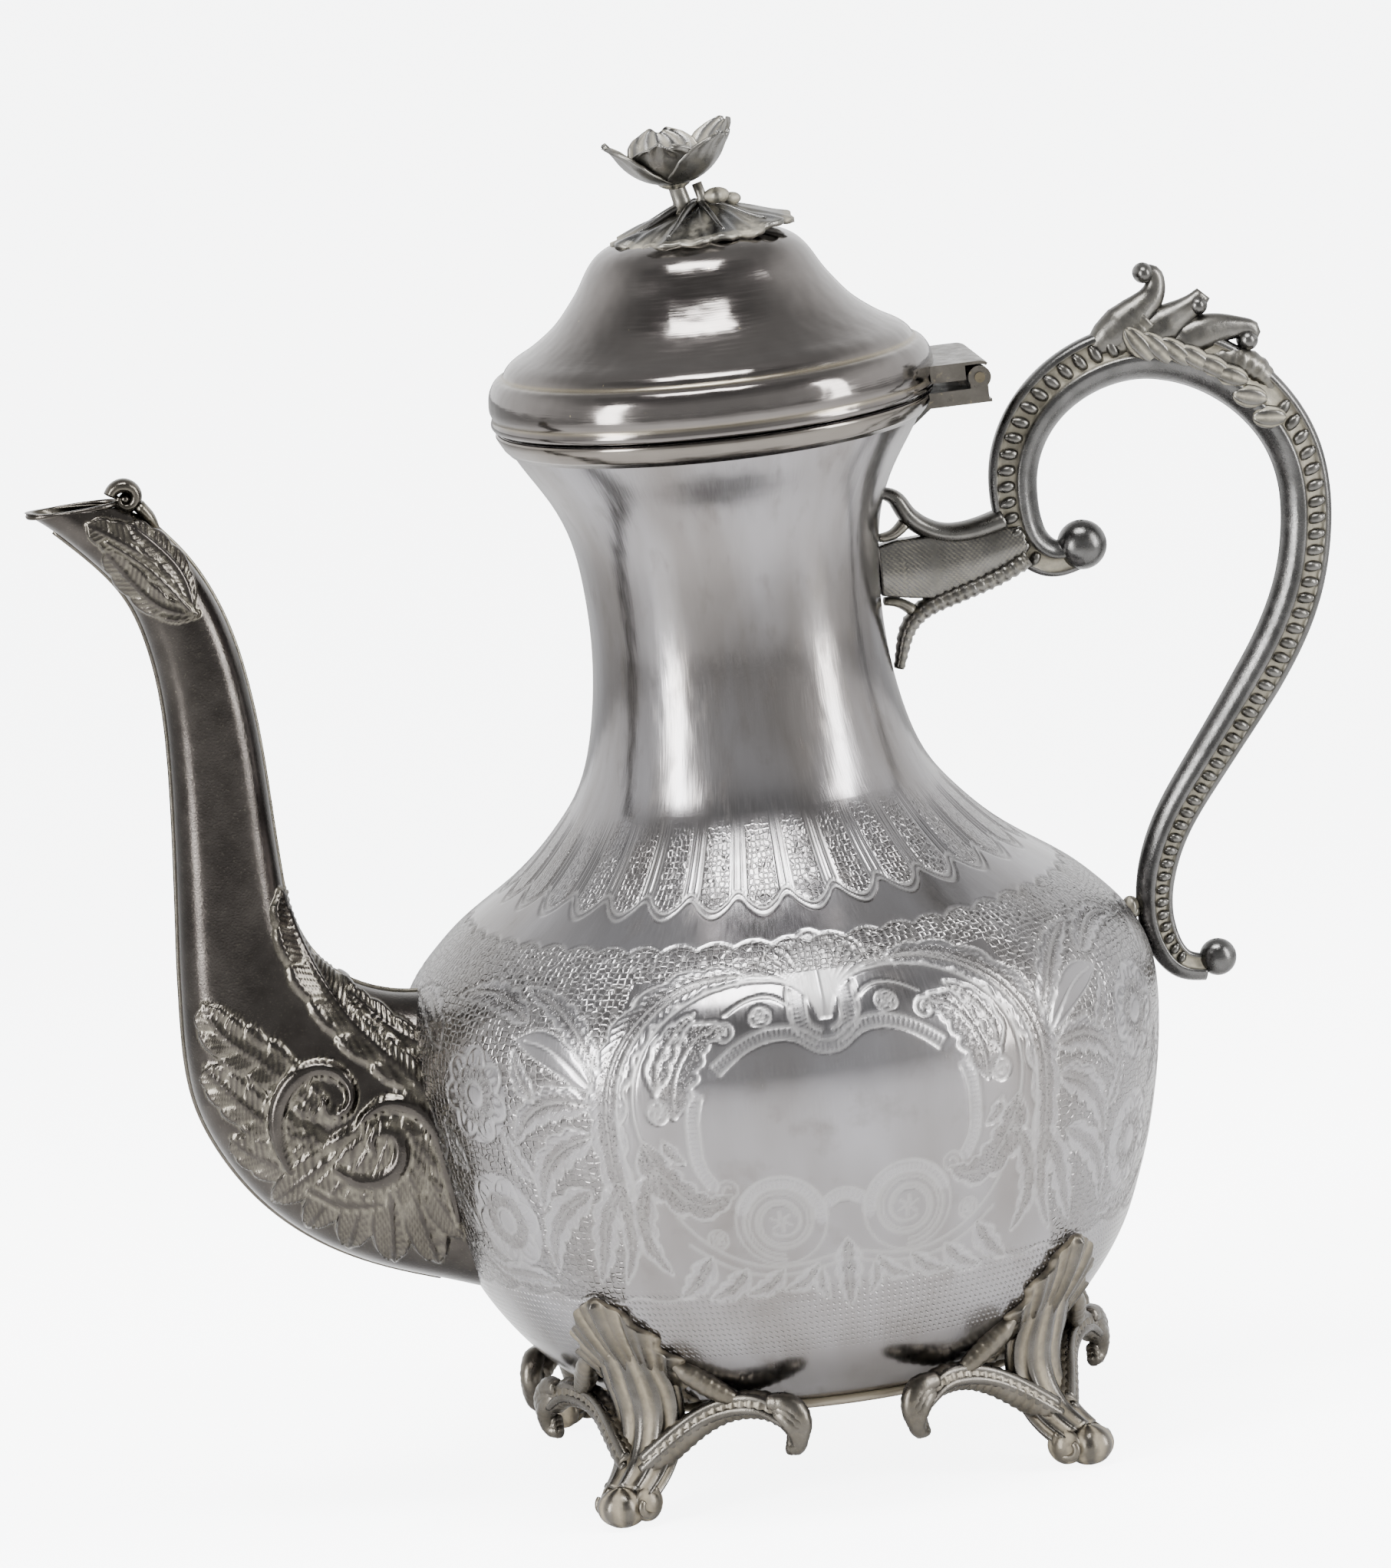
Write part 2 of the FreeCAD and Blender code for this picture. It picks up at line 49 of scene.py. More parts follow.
MM = 0.001
AXIS_X = (COLLAR[0][0] + COLLAR[1][0]) / 2 / MM
PI = math.pi


# Shape helpers

def spline(points, count=None, step=None):
    """A smooth line through points, at even steps of length: natural cubics over chord length."""
    p = np.asarray(points, float)
    t = lengths(p)
    n, h = len(p), np.diff(t)
    a, b = np.eye(n), np.zeros(p.shape)
    for i in range(1, n - 1):
        a[i, i - 1:i + 2] = h[i - 1], 2 * (h[i - 1] + h[i]), h[i]
        b[i] = 6 * ((p[i + 1] - p[i]) / h[i] - (p[i] - p[i - 1]) / h[i - 1])
    m = np.linalg.solve(a, b)

    def at(u):
        k = np.clip(np.searchsorted(t, u) - 1, 0, n - 2)
        w, g = (u - t[k])[:, None], h[k][:, None]
        e = g - w
        return (m[k] * e**3 + m[k + 1] * w**3) / (6 * g) + (p[k] / g - m[k] * g / 6) * e \
            + (p[k + 1] / g - m[k + 1] * g / 6) * w

    fine = at(np.linspace(0, t[-1], 40 * n))
    run = lengths(fine)
    if count is None:
        count = max(int(run[-1] / step) + 1, 3)
    even = np.linspace(0, run[-1], count)
    return np.stack([np.interp(even, run, fine[:, i]) for i in range(p.shape[1])], axis=1)


def upright(line):
    """A line of (x, z) places stood up in space on the centre plane."""
    return np.insert(line, 1, 0, axis=1)


def lengths(line):
    """How far along the line each of its points lies."""
    return np.concatenate([[0], np.cumsum(np.linalg.norm(np.diff(line, axis=0), axis=1))])


def unit(vectors):
    return vectors / np.linalg.norm(vectors, axis=-1, keepdims=True)


def keyed(share, values):
    """Values given at even steps, read at shares from 0 to 1."""
    return np.interp(share, np.linspace(0, 1, len(values)), values)


def polar(radius, angle, z):
    """Points in space from a radius, an angle and a height."""
    return np.stack(np.broadcast_arrays(radius * np.cos(angle), radius * np.sin(angle), z), axis=-1)


def circle(centre, radius, angle):
    """Places on a flat sheet round a centre."""
    return np.stack([centre[0] + radius * np.cos(angle), centre[1] + radius * np.sin(angle)], axis=1)


def grid(rows, cols, wrap_rows=False, wrap_cols=False):
    """Quads over a rows by cols sheet of points."""
    r = np.arange(rows if wrap_rows else rows - 1)
    c = np.arange(cols if wrap_cols else cols - 1)
    r, c = np.meshgrid(r, c, indexing="ij")
    r2, c2 = (r + 1) % rows, (c + 1) % cols
    return np.stack([r * cols + c, r * cols + c2, r2 * cols + c2, r2 * cols + c], axis=-1).reshape(-1, 4)


class Solid:
    """Closed shells gathered into one mesh, with a dirt value at every point."""

    def __init__(self):
        self.verts, self.quads, self.tris, self.values, self.count = [], [], [], {}, 0

    def add(self, verts, quads, tris=None, **values):
        verts = np.asarray(verts, float).reshape(-1, 3)
        tris = np.zeros((0, 3), int) if tris is None else np.asarray(tris, int)
        parts = [verts[quads[:, [0, 1, 2]]], verts[quads[:, [0, 2, 3]]], verts[tris]]
        tri = np.concatenate(parts)
        tri = tri - verts.mean(0)
        if np.einsum("ij,ij->i", tri[:, 0], np.cross(tri[:, 1], tri[:, 2])).sum() < 0:
            quads, tris = quads[:, ::-1], tris[:, ::-1]
        self.verts.append(verts)
        self.quads.append(quads + self.count)
        self.tris.append(tris + self.count)
        for key in ("dirt", "cut", "honey", "stip", "arcs", "leaf"):
            value = np.broadcast_to(np.asarray(values.get(key, 0.0), float), (len(verts),))
            self.values.setdefault(key, []).append(value)
        flat = np.asarray(values.get("sheet", verts), float).reshape(-1, 3)
        self.values.setdefault("sheet", []).append(flat)
        self.count += len(verts)

    def tube(self, rings, dirt=0.0):
        """Rings of points skinned into a tube, both ends closed by a fan."""
        rings = np.asarray(rings, float)
        n, k, _ = rings.shape
        ends = np.stack([rings[0].mean(0), rings[-1].mean(0)])
        verts = np.concatenate([rings.reshape(-1, 3), ends])
        j = np.arange(k)
        first = np.stack([np.full(k, n * k), (j + 1) % k, j], axis=1)
        last = np.stack([np.full(k, n * k + 1), (n - 1) * k + j, (n - 1) * k + (j + 1) % k], axis=1)
        dirt = np.broadcast_to(dirt, (n, k)).reshape(-1)
        self.add(verts, grid(n, k, wrap_cols=True), np.concatenate([first, last]),
                 dirt=np.concatenate([dirt, [dirt[0], dirt[-1]]]))

    def rod(self, line, radii, side=(0, 1, 0), flat=1.0, around=14, dirt=0.0, ribs=0.0, pitch=2.0):
        """A round or flattened rod along a 3-D line; flat scales it across the side direction."""
        line = np.asarray(line, float)
        along = unit(np.gradient(line, axis=0))
        u = unit(np.cross(along, np.asarray(side, float)))
        w = np.cross(u, along)
        wave = ribs * np.cos(2 * PI * lengths(line) / pitch)
        radii = keyed(np.linspace(0, 1, len(line)), np.atleast_1d(radii)) * (1 + wave)
        a = np.linspace(0, 2 * PI, around, endpoint=False)
        rings = line[:, None] + radii[:, None, None] * (np.cos(a)[None, :, None] * u[:, None]
                                                       + flat * np.sin(a)[None, :, None] * w[:, None])
        level = np.broadcast_to(dirt, (len(line), around)) + np.clip(-wave, 0, 1)[:, None] * 3.0
        self.tube(rings, np.clip(level, 0, 1))

    def blob(self, centre, reach, rows=12, cols=20, tilt=None, dirt=0.0, lobes=0, depth=0.0):
        """An ellipsoid, or a lobed bud, with its pole along the third reach."""
        th = np.linspace(0, PI, rows + 2)[1:-1]
        ph = np.linspace(0, 2 * PI, cols, endpoint=False)
        swell = 1 - depth * (0.5 - 0.5 * np.cos(lobes * ph))[None]
        pts = np.stack([np.sin(th)[:, None] * np.cos(ph) * swell, np.sin(th)[:, None] * np.sin(ph) * swell,
                        np.broadcast_to(np.cos(th)[:, None], (rows, cols))], axis=-1)
        verts = np.concatenate([pts.reshape(-1, 3), [(0, 0, 1), (0, 0, -1)]]) * np.asarray(reach, float)
        if tilt is not None:
            verts = verts @ np.asarray(tilt, float)
        j = np.arange(cols)
        top = np.stack([np.full(cols, rows * cols), j, (j + 1) % cols], axis=1)
        low = np.stack([np.full(cols, rows * cols + 1), (rows - 1) * cols + (j + 1) % cols,
                        (rows - 1) * cols + j],
                       axis=1)
        groove = np.broadcast_to((0.5 - 0.5 * np.cos(lobes * ph)) ** 2 * (depth > 0),
                                 (rows, cols)).reshape(-1)
        self.add(verts + np.asarray(centre, float), grid(rows, cols, wrap_cols=True),
                 np.concatenate([top, low]), dirt=np.clip(dirt + np.concatenate([groove, [0, 0]]), 0, 1))

    def shell(self, front, back, dirt=0.0):
        """Two sheets of rows by cols points, sewn together along their edges."""
        rows, cols, _ = front.shape
        sheet = np.concatenate([front, back[:, ::-1]], axis=1)
        k = sheet.shape[1]
        rings = grid(rows, k, wrap_cols=True)
        # the two open ends are closed by strips between the sheets
        j = np.arange(cols - 1)
        caps = []
        for row in (0, rows - 1):
            strip = np.stack([row * k + j, row * k + j + 1, row * k + k - 2 - j, row * k + k - 1 - j], axis=1)
            caps.append(strip if row else strip[:, ::-1])
        dirt = np.broadcast_to(dirt, (rows, cols))
        both = np.concatenate([dirt, np.broadcast_to(0.2, (rows, cols))], axis=1)
        self.add(sheet.reshape(-1, 3), np.concatenate([rings] + caps), dirt=both.reshape(-1))


def piece(name, solid, body, material, replaces=()):
    verts = (np.concatenate(solid.verts) + (AXIS_X, 0, 0)) * MM
    quads, tris = np.concatenate(solid.quads), np.concatenate(solid.tris)
    loops = np.concatenate([quads.ravel(), tris.ravel()]).astype(np.int32)
    starts = np.concatenate([np.arange(len(quads)) * 4,
                             len(quads) * 4 + np.arange(len(tris)) * 3]).astype(np.int32)
    mesh = bpy.data.meshes.new(name)
    mesh.vertices.add(len(verts))
    mesh.vertices.foreach_set("co", verts.ravel())
    mesh.loops.add(len(loops))
    mesh.loops.foreach_set("vertex_index", loops)
    mesh.polygons.add(len(starts))
    mesh.polygons.foreach_set("loop_start", starts)
    mesh.polygons.foreach_set("use_smooth", np.ones(len(starts), bool))
    mesh.update(calc_edges=True)
    for key, values in solid.values.items():
        if key == "sheet":
            attribute = mesh.attributes.new(key, "FLOAT_VECTOR", "POINT")
            attribute.data.foreach_set("vector", np.concatenate(values).ravel())
        elif max(np.abs(v).max() for v in values) > 0 or key == "dirt":
            attribute = mesh.attributes.new(key, "FLOAT", "POINT")
            attribute.data.foreach_set("value", np.concatenate(values))
    mesh.materials.append(material)
    obj = bpy.data.objects.new(name, mesh)
    bpy.context.collection.objects.link(obj)
    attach(obj, body)
    if replaces:
        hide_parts(*replaces)
    return obj


class Relief:
    """Layers of a flat sheet that strokes are drawn on, in millimetres."""

    def __init__(self, low, high, step):
        self.low, self.step = np.asarray(low, float), step
        self.size = tuple(int((h - l) / step) + 2 for l, h in zip(low, high))
        self.layers = {}

    def layer(self, name):
        return self.layers.setdefault(name, np.zeros(self.size, np.float32))

    def near(self, line, reach):
        """The window within reach of a line, and there each cell's distance, side and place along it."""
        line = np.asarray(line, float)
        low = np.maximum(((line.min(0) - reach - self.low) / self.step).astype(int), 0)
        high = np.minimum(((line.max(0) + reach - self.low) / self.step).astype(int) + 2, self.size)
        if (high <= low).any():
            return None
        x, y = np.meshgrid(self.low[0] + self.step * np.arange(low[0], high[0]),
                           self.low[1] + self.step * np.arange(low[1], high[1]), indexing="ij")
        best, along, side = np.full(x.shape, 1e9), np.zeros(x.shape), np.zeros(x.shape)
        run = 0.0
        for a, b in zip(line[:-1], line[1:]):
            d = b - a
            n = math.hypot(*d)
            s = np.clip(((x - a[0]) * d[0] + (y - a[1]) * d[1]) / n**2, 0, 1)
            ex, ey = x - a[0] - s * d[0], y - a[1] - s * d[1]
            dist = np.hypot(ex, ey)
            m = dist < best
            best[m], along[m], side[m] = dist[m], (run + s * n)[m], np.sign(d[0] * ey - d[1] * ex)[m]
            run += n
        return (slice(low[0], high[0]), slice(low[1], high[1])), best, side, along, run

    def raise_to(self, name, window, value):
        target = self.layer(name)[window]
        np.maximum(target, value, out=target)

    def line(self, points, width=0.28, value=1.0, name="cut", smooth=True):
        pts = spline(points, step=1.2) if smooth and len(points) > 2 else points
        found = self.near(pts, 2 * width)
        if found:
            window, dist, _, _, _ = found
            self.raise_to(name, window, value * np.clip(1.5 - dist / width, 0, 1))

    def band(self, points, half, pitch=1.0):
        """A ribbed ribbon between two lines."""
        found = self.near(spline(points, step=0.8), half + 1)
        if found:
            window, dist, _, along, run = found
            ends = (along > 0.02) & (along < run - 0.02)
            edge = np.clip(1.5 - np.abs(dist - half) / 0.3, 0, 1)
            rib = (dist < half) * (0.5 + 0.5 * np.cos(2 * PI * along / pitch)) * 0.8
            self.raise_to("cut", window, np.maximum(edge, rib) * ends)
            self.raise_to("leaf", window, (dist < half) * 1.0)

    def leaf(self, points, wide, lobes=5, stipple=0.55, veins=1.1, value=1.0):
        """An engraved leaf with a lobed outline, a midrib, veins, and stippling beside the midrib."""
        found = self.near(spline(points, step=1.0), wide * 1.3 + 1)
        if not found:
            return
        window, dist, side, along, run = found
        share = np.clip(along / run, 0, 1)
        lean = np.clip(share - 0.22 * dist / wide / max(lobes, 1) * 2, 0, 1)
        swell = np.sin(PI * np.clip(share, 0.0, 1) ** 0.75) ** 0.6
        edge = wide * swell * (0.72 + 0.28 * np.abs(np.sin(PI * lobes * lean)))
        edge = np.maximum(edge, 0.35)
        inside = dist < edge
        outline = np.clip(1.5 - np.abs(dist - edge) / 0.3, 0, 1) * ((share > 0) & (share < 1) | (dist < 0.7))
        rib = np.clip(1.4 - dist / 0.28, 0, 1) * (share < 0.9)
        lines = inside * (np.cos(2 * PI * (along - 1.5 * dist) / ((veins or 1.0) * 1.6)) > 0.72) \
            * (dist > 0.25 * edge) * 0.7
        self.raise_to("cut", window, value * np.maximum(np.maximum(outline, rib), lines * (veins > 0)))
        self.raise_to("leaf", window, inside * 1.0)
        self.raise_to("stip", window, (inside & (dist < stipple * edge)) * 1.0)

    def emboss(self, points, wide, height, lobes=6, pitch=1.5, groove=0.5, taper=0.75):
        """A raised leaf: rounded lobes either side of a cut midrib, hatched across."""
        found = self.near(spline(points, step=1.2), wide * 1.2 + 1)
        if not found:
            return
        window, dist, side, along, run = found
        share = np.clip(along / run, 0, 1)
        lean = np.clip(share - 0.5 * dist / run, 0, 1)
        notch = np.abs(np.sin(PI * lobes * lean))
        edge = wide * np.interp(share, [0, 0.15, 0.4, 0.7, 0.88, 0.96, 1.0], [0.30, 0.66, 0.95, 1.0, 0.80,
                                                                              0.52, 0.15])
        edge = edge * (0.86 + 0.14 * notch)
        c = np.clip(dist / np.maximum(edge, 0.2), 0, 1)
        rim = np.sqrt(np.clip(1 - ((c - 0.74) / 0.26) ** 2, 0, 1))
        dome = np.where(c < 0.74, 0.66 + 0.34 * (c / 0.74) ** 2, rim)
        rib = np.exp(-(dist / 0.45) ** 2) * groove * (share < 0.93)
        hatch = (0.5 - 0.5 * np.cos(2 * PI * (along - 0.9 * dist) / pitch)) * (c < 0.76) * (dist > 0.4)
        gap = (1 - notch) ** 3 * (c > 0.25)
        value = height * dome * (1 - 0.30 * hatch - 0.45 * gap) + 0.45 * height * rib
        inside = dist < edge
        target = self.layer("high")[window]
        np.copyto(target, np.where(inside, np.maximum(value, 0.12), target))
        stain = np.clip(0.55 * hatch + 0.6 * gap + np.clip((c - 0.90) * 8, 0, 1) * 0.7, 0, 1)
        soil = self.layer("dirt")[window]
        np.copyto(soil, np.where(inside, stain, np.where(dist < edge + 0.4, np.maximum(soil, 0.6), soil)))

    def roll(self, points, widths, height, stain=0.35):
        """A raised rounded scroll that widens or narrows along its line."""
        widths = np.atleast_1d(np.asarray(widths, float))
        found = self.near(spline(points, step=0.8), widths.max() + 1)
        if not found:
            return
        window, dist, _, along, run = found
        edge = keyed(along / run, widths)
        c = np.clip(dist / edge, 0, 1)
        target, soil = self.layer("high")[window], self.layer("dirt")[window]
        inside = dist < edge
        np.copyto(target, np.where(inside, np.maximum(height * np.sqrt(1 - c**2), 0.05), target))
        rim = np.where(inside, stain * c**3, np.where(dist < edge + 0.45, np.maximum(soil, 0.9), soil))
        np.copyto(soil, rim)

    def sample(self, name, x, y):
        field = self.layer(name)
        fx = np.clip((x - self.low[0]) / self.step, 0, self.size[0] - 1.001)
        fy = np.clip((y - self.low[1]) / self.step, 0, self.size[1] - 1.001)
        i, j = fx.astype(int), fy.astype(int)
        u, v = fx - i, fy - j
        return (field[i, j] * (1 - u) * (1 - v) + field[i + 1, j] * u * (1 - v)
                + field[i, j + 1] * (1 - u) * v + field[i + 1, j + 1] * u * v)


def turn_solid(profile, cols, dirt=0.0):
    """A closed solid of revolution from a closed profile of (radius, z) points."""
    profile = np.asarray(profile, float)
    a = np.linspace(0, 2 * PI, cols, endpoint=False)
    solid = Solid()
    solid.add(polar(profile[:, :1], a, profile[:, 1:]),
              grid(len(profile), cols, wrap_rows=True, wrap_cols=True),
              dirt=np.broadcast_to(np.reshape(dirt, (-1, 1)), (len(profile), cols)).reshape(-1))
    return solid


# Materials

def node(tree, kind, **settings):
    n = tree.nodes.new(kind)
    for key, value in settings.items():
        if hasattr(n, key):
            setattr(n, key, value)
        else:
            n.inputs[key.replace("_", " ")].default_value = value
    return n


def maths(tree, operation, a, b=None, clamp=False):
    n = node(tree, "ShaderNodeMath", operation=operation, use_clamp=clamp)
    for slot, x in zip(n.inputs, (a, b)):
        if isinstance(x, (int, float)):
            slot.default_value = x
        elif x is not None:
            tree.links.new(x, slot)
    return n.outputs[0]


def map_range(tree, value, ends, **more):
    """A value taken from one range to another: ends are from low, from high, to low, to high."""
    n = node(tree, "ShaderNodeMapRange", **more)
    for slot, x in zip(("From Min", "From Max", "To Min", "To Max"), ends):
        n.inputs[slot].default_value = x
    tree.links.new(value, n.inputs["Value"])
    return n.outputs["Result"]


class Shade:
    """A small builder for a metal's node tree."""

    def __init__(self, name):
        self.material = bpy.data.materials.new(name)
        self.material.use_nodes = True
        self.tree = self.material.node_tree
        self.bsdf = self.tree.nodes["Principled BSDF"]
        self.bumps = None

    def link(self, a, b):
        self.tree.links.new(a, b)

    def value(self, name):
        return node(self.tree, "ShaderNodeAttribute", attribute_name=name).outputs["Fac"]

    def sheet(self, scale=(1, 1, 1)):
        place = node(self.tree, "ShaderNodeAttribute", attribute_name="sheet").outputs["Vector"]
        mapping = node(self.tree, "ShaderNodeMapping")
        mapping.inputs["Scale"].default_value = scale
        self.link(place, mapping.inputs["Vector"])
        return mapping.outputs["Vector"]

    def math(self, *terms, clamp=False):
        return maths(self.tree, *terms, clamp=clamp)

    def times(self, a, b):
        return maths(self.tree, "MULTIPLY", a, b)

    def noise(self, scale, detail=4.0, vector=None, rough=0.55):
        n = node(self.tree, "ShaderNodeTexNoise", Scale=scale, Detail=detail, Roughness=rough)
        self.link(vector or self.sheet(), n.inputs["Vector"])
        return n.outputs["Fac"]

    def ramp(self, value, low, high, out_low=0.0, out_high=1.0):
        return map_range(self.tree, value, (low, high, out_low, out_high), clamp=True)

    def mix(self, factor, a, b):
        n = node(self.tree, "ShaderNodeMix", data_type="RGBA")
        self.link(factor, n.inputs["Factor"])
        for slot, x in ((n.inputs[6], a), (n.inputs[7], b)):
            if isinstance(x, tuple):
                slot.default_value = (*x, 1)
            else:
                self.link(x, slot)
        return n.outputs[2]

    def bump(self, height, strength, distance):
        n = node(self.tree, "ShaderNodeBump", Strength=strength, Distance=distance * MM)
        self.link(height, n.inputs["Height"])
        if self.bumps:
            self.link(self.bumps, n.inputs["Normal"])
        self.bumps = n.outputs["Normal"]

    def finish(self, color, rough, metallic=None):
        self.link(color, self.bsdf.inputs["Base Color"])
        self.link(rough, self.bsdf.inputs["Roughness"])
        if metallic is None:
            self.bsdf.inputs["Metallic"].default_value = 1.0
        else:
            self.link(metallic, self.bsdf.inputs["Metallic"])
        if self.bumps:
            self.link(self.bumps, self.bsdf.inputs["Normal"])
        return self.material


def engraved_plate():
    """Polished silver plate with engraving, stippling, honeycomb ground and rows of arcs."""
    s = Shade("plate_engraved")
    cut, honey, stip, arcs, leaf = (s.value(n) for n in ("cut", "honey", "stip", "arcs", "leaf"))
    warm = s.ramp(s.noise(0.03, 3, s.sheet((1, 0.5, 1))), 0.35, 0.65)
    color = s.mix(warm, (0.172, 0.160, 0.154), (0.262, 0.256, 0.266))
    smut = s.ramp(s.noise(0.11, 6), 0.55, 0.78)
    color = s.mix(s.times(smut, 0.55), color, (0.120, 0.106, 0.095))
    cells = node(s.tree, "ShaderNodeTexVoronoi", feature="DISTANCE_TO_EDGE", Scale=0.66, Randomness=0.55)
    s.link(s.sheet((1, 1.25, 1)), cells.inputs["Vector"])
    pit = s.times(s.ramp(cells.outputs["Distance"], 0.03, 0.2), honey)
    walls = s.times(s.ramp(cells.outputs["Distance"], 0.02, 0.13, 1.0, 0.0), honey)
    dots = node(s.tree, "ShaderNodeTexVoronoi", feature="F1", Scale=1.9, Randomness=0.9)
    s.link(s.sheet(), dots.inputs["Vector"])
    prick = s.times(s.ramp(dots.outputs["Distance"], 0.1, 0.38, 1.0, 0.0), stip)
    split = node(s.tree, "ShaderNodeSeparateXYZ")
    s.link(s.sheet(), split.inputs[0])
    bow = s.times(s.math("ABSOLUTE", s.math("SINE", s.times(split.outputs[0], 2.35))), 0.42)
    row = s.math("SINE", s.times(s.math("ADD", split.outputs[1], bow), 4.6))
    dash = s.ramp(s.math("SINE", s.times(split.outputs[0], 4.7)), -0.4, 0.5)
    tick = s.times(s.times(s.ramp(row, 0.35, 0.9), dash), arcs)
    matt = s.math("MAXIMUM", s.math("MAXIMUM", cut, s.times(prick, 0.6)),
                  s.math("MAXIMUM", s.times(walls, 0.55), s.times(tick, 0.8)), clamp=True)
    color = s.mix(s.times(matt, 0.45), color, (0.36, 0.355, 0.345))
    ground = s.times(s.math("MAXIMUM", honey, s.times(stip, 0.8)), 0.38)
    color = s.mix(ground, color, (0.105, 0.098, 0.092))
    plain = s.times(s.math("SUBTRACT", leaf, stip, clamp=True), 0.20)
    color = s.mix(plain, color, (0.42, 0.415, 0.43))
    brushed = s.noise(1.0, 3, s.sheet((2.2, 0.22, 1)))
    rough = s.math("ADD", s.ramp(brushed, 0.3, 0.7, 0.15, 0.23), s.times(matt, 0.24))
    rough = s.math("ADD", rough, s.times(smut, 0.10), clamp=True)
    s.bump(s.noise(0.55, 2, s.sheet((1.5, 0.28, 1))), 0.30, 0.04)
    s.bump(s.noise(0.05, 2), 0.4, 0.5)
    s.bump(pit, 0.8, 0.14)
    s.bump(s.times(prick, -1.0), 0.9, 0.16)
    s.bump(s.times(tick, -1.0), 0.8, 0.14)
    return s.finish(color, rough)


def polished_plate(name, base, rough=(0.14, 0.24), spin=True):
    """Plain silver plate: soft tarnish clouds, fine marks from spinning, and a few yellowish spots."""
    s = Shade(name)
    cloud = s.ramp(s.noise(0.06, 5), 0.35, 0.68)
    color = s.mix(cloud, base, tuple(c * 0.80 for c in base))
    spots = s.ramp(s.noise(0.9, 2), 0.76, 0.80)
    color = s.mix(s.times(spots, 0.8), color, (0.42, 0.37, 0.24))
    color = s.mix(s.value("dirt"), color, (0.34, 0.29, 0.19))
    marks = s.noise(1.0, 3, s.sheet((0.15, 0.15, 3.0) if spin else (1.5, 1.5, 1.5)))
    level = s.math("ADD", s.ramp(marks, 0.3, 0.7, *rough), s.times(s.value("dirt"), 0.35), clamp=True)
    s.bump(marks, 0.28, 0.05)
    s.bump(s.noise(0.10, 2), 0.4, 0.7)
    return s.finish(color, level)


def cast_plate(name, base, worn, soil=(0.30, 0.275, 0.21), gloss=(0.20, 0.32)):
    """Plate over a casting: dark polished high places, grainy skin, pale dirt lying in the recesses."""
    s = Shade(name)
    cloud = s.ramp(s.noise(0.16, 5), 0.35, 0.65)
    color = s.mix(cloud, base, worn)
    grain = s.noise(2.4, 5)
    speck = s.ramp(grain, 0.60, 0.72, 0.0, 0.14)
    amount = s.math("ADD", s.times(s.value("dirt"), s.ramp(s.noise(0.7, 4), 0.25, 0.6, 0.45, 1.0)), speck,
                    clamp=True)
    color = s.mix(amount, color, soil)
    rough = s.math("ADD", s.ramp(s.noise(0.5, 4), 0.3, 0.7, *gloss), s.times(amount, 0.42), clamp=True)
    metallic = s.ramp(amount, 0.3, 1.0, 1.0, 0.25)
    s.bump(grain, 0.35, 0.10)
    return s.finish(color, rough, metallic)


def dull_metal(name, base, grain_scale=900.0):
    """For carried-over CAD nodes, which have no sheet attribute: object space noise in metres."""
    s = Shade(name)
    place = node(s.tree, "ShaderNodeTexCoord").outputs["Object"]
    cloud = s.ramp(s.noise(grain_scale * 0.2, 5, place), 0.35, 0.65)
    color = s.mix(cloud, base, tuple(c * 0.7 for c in base))
    spot = s.ramp(s.noise(grain_scale * 0.7, 3, place), 0.62, 0.74, 0.0, 0.7)
    color = s.mix(spot, color, (0.26, 0.22, 0.15))
    rough = s.ramp(s.noise(grain_scale * 0.5, 4, place), 0.3, 0.7, 0.26, 0.46)
    s.bump(s.noise(grain_scale, 4, place), 0.3, 0.10)
    return s.finish(color, rough)


PLATE = engraved_plate()
LID_METAL = polished_plate("plate_lid", (0.150, 0.138, 0.131), rough=(0.09, 0.18))
BASE_METAL = polished_plate("plate_base", (0.18, 0.165, 0.145), rough=(0.25, 0.4))
SPOUT_METAL = cast_plate("plate_spout", (0.060, 0.054, 0.049), (0.038, 0.034, 0.031),
                         soil=(0.33, 0.305, 0.235), gloss=(0.11, 0.21))
HANDLE_METAL = cast_plate("plate_handle", (0.112, 0.110, 0.108), (0.070, 0.069, 0.067))
FOOT_METAL = cast_plate("plate_foot", (0.095, 0.089, 0.081), (0.058, 0.054, 0.048),
                        soil=(0.225, 0.192, 0.135))
FLOWER_METAL = cast_plate("plate_flower", (0.14, 0.14, 0.14), (0.085, 0.085, 0.086))
HINGE_METAL = dull_metal("hinge_metal", (0.13, 0.120, 0.105))
FASTENER = dull_metal("fastener_metal", (0.17, 0.145, 0.10))
SOLDER = dull_metal("solder_metal", (0.12, 0.117, 0.108))


# The vessel

VESSEL = [(44.0, 19.0), (48.6, 22.4), (53.5, 27.0), (57.3, 31.6), (60.4, 36.1), (63.1, 41.0), (65.7, 47.5),
          (68.1, 54.6), (70.0, 62.0), (71.6, 70.0), (72.6, 78.0), (72.9, 84.5), (72.2, 91.0), (70.5, 95.6),
          (68.0, 99.6), (64.6, 103.4), (60.6, 107.2), (52.6, 112.9), (45.4, 118.4), (38.6, 125.4),
          (33.7, 132.2), (30.6, 140.5), (28.7, 150.5), (27.9, 161.5), (28.3, 171.5), (29.8, 181.0),
          (33.0, 188.8), (37.6, 196.2), (41.2, 202.8)]
WALL = 1.0
LINE = spline(VESSEL, step=0.25)
RUN = lengths(LINE)
BELLY = 72.9
MM_PER_DEGREE = BELLY * PI / 180
CELL = 0.16                          # the side of a cell in the relief sheets


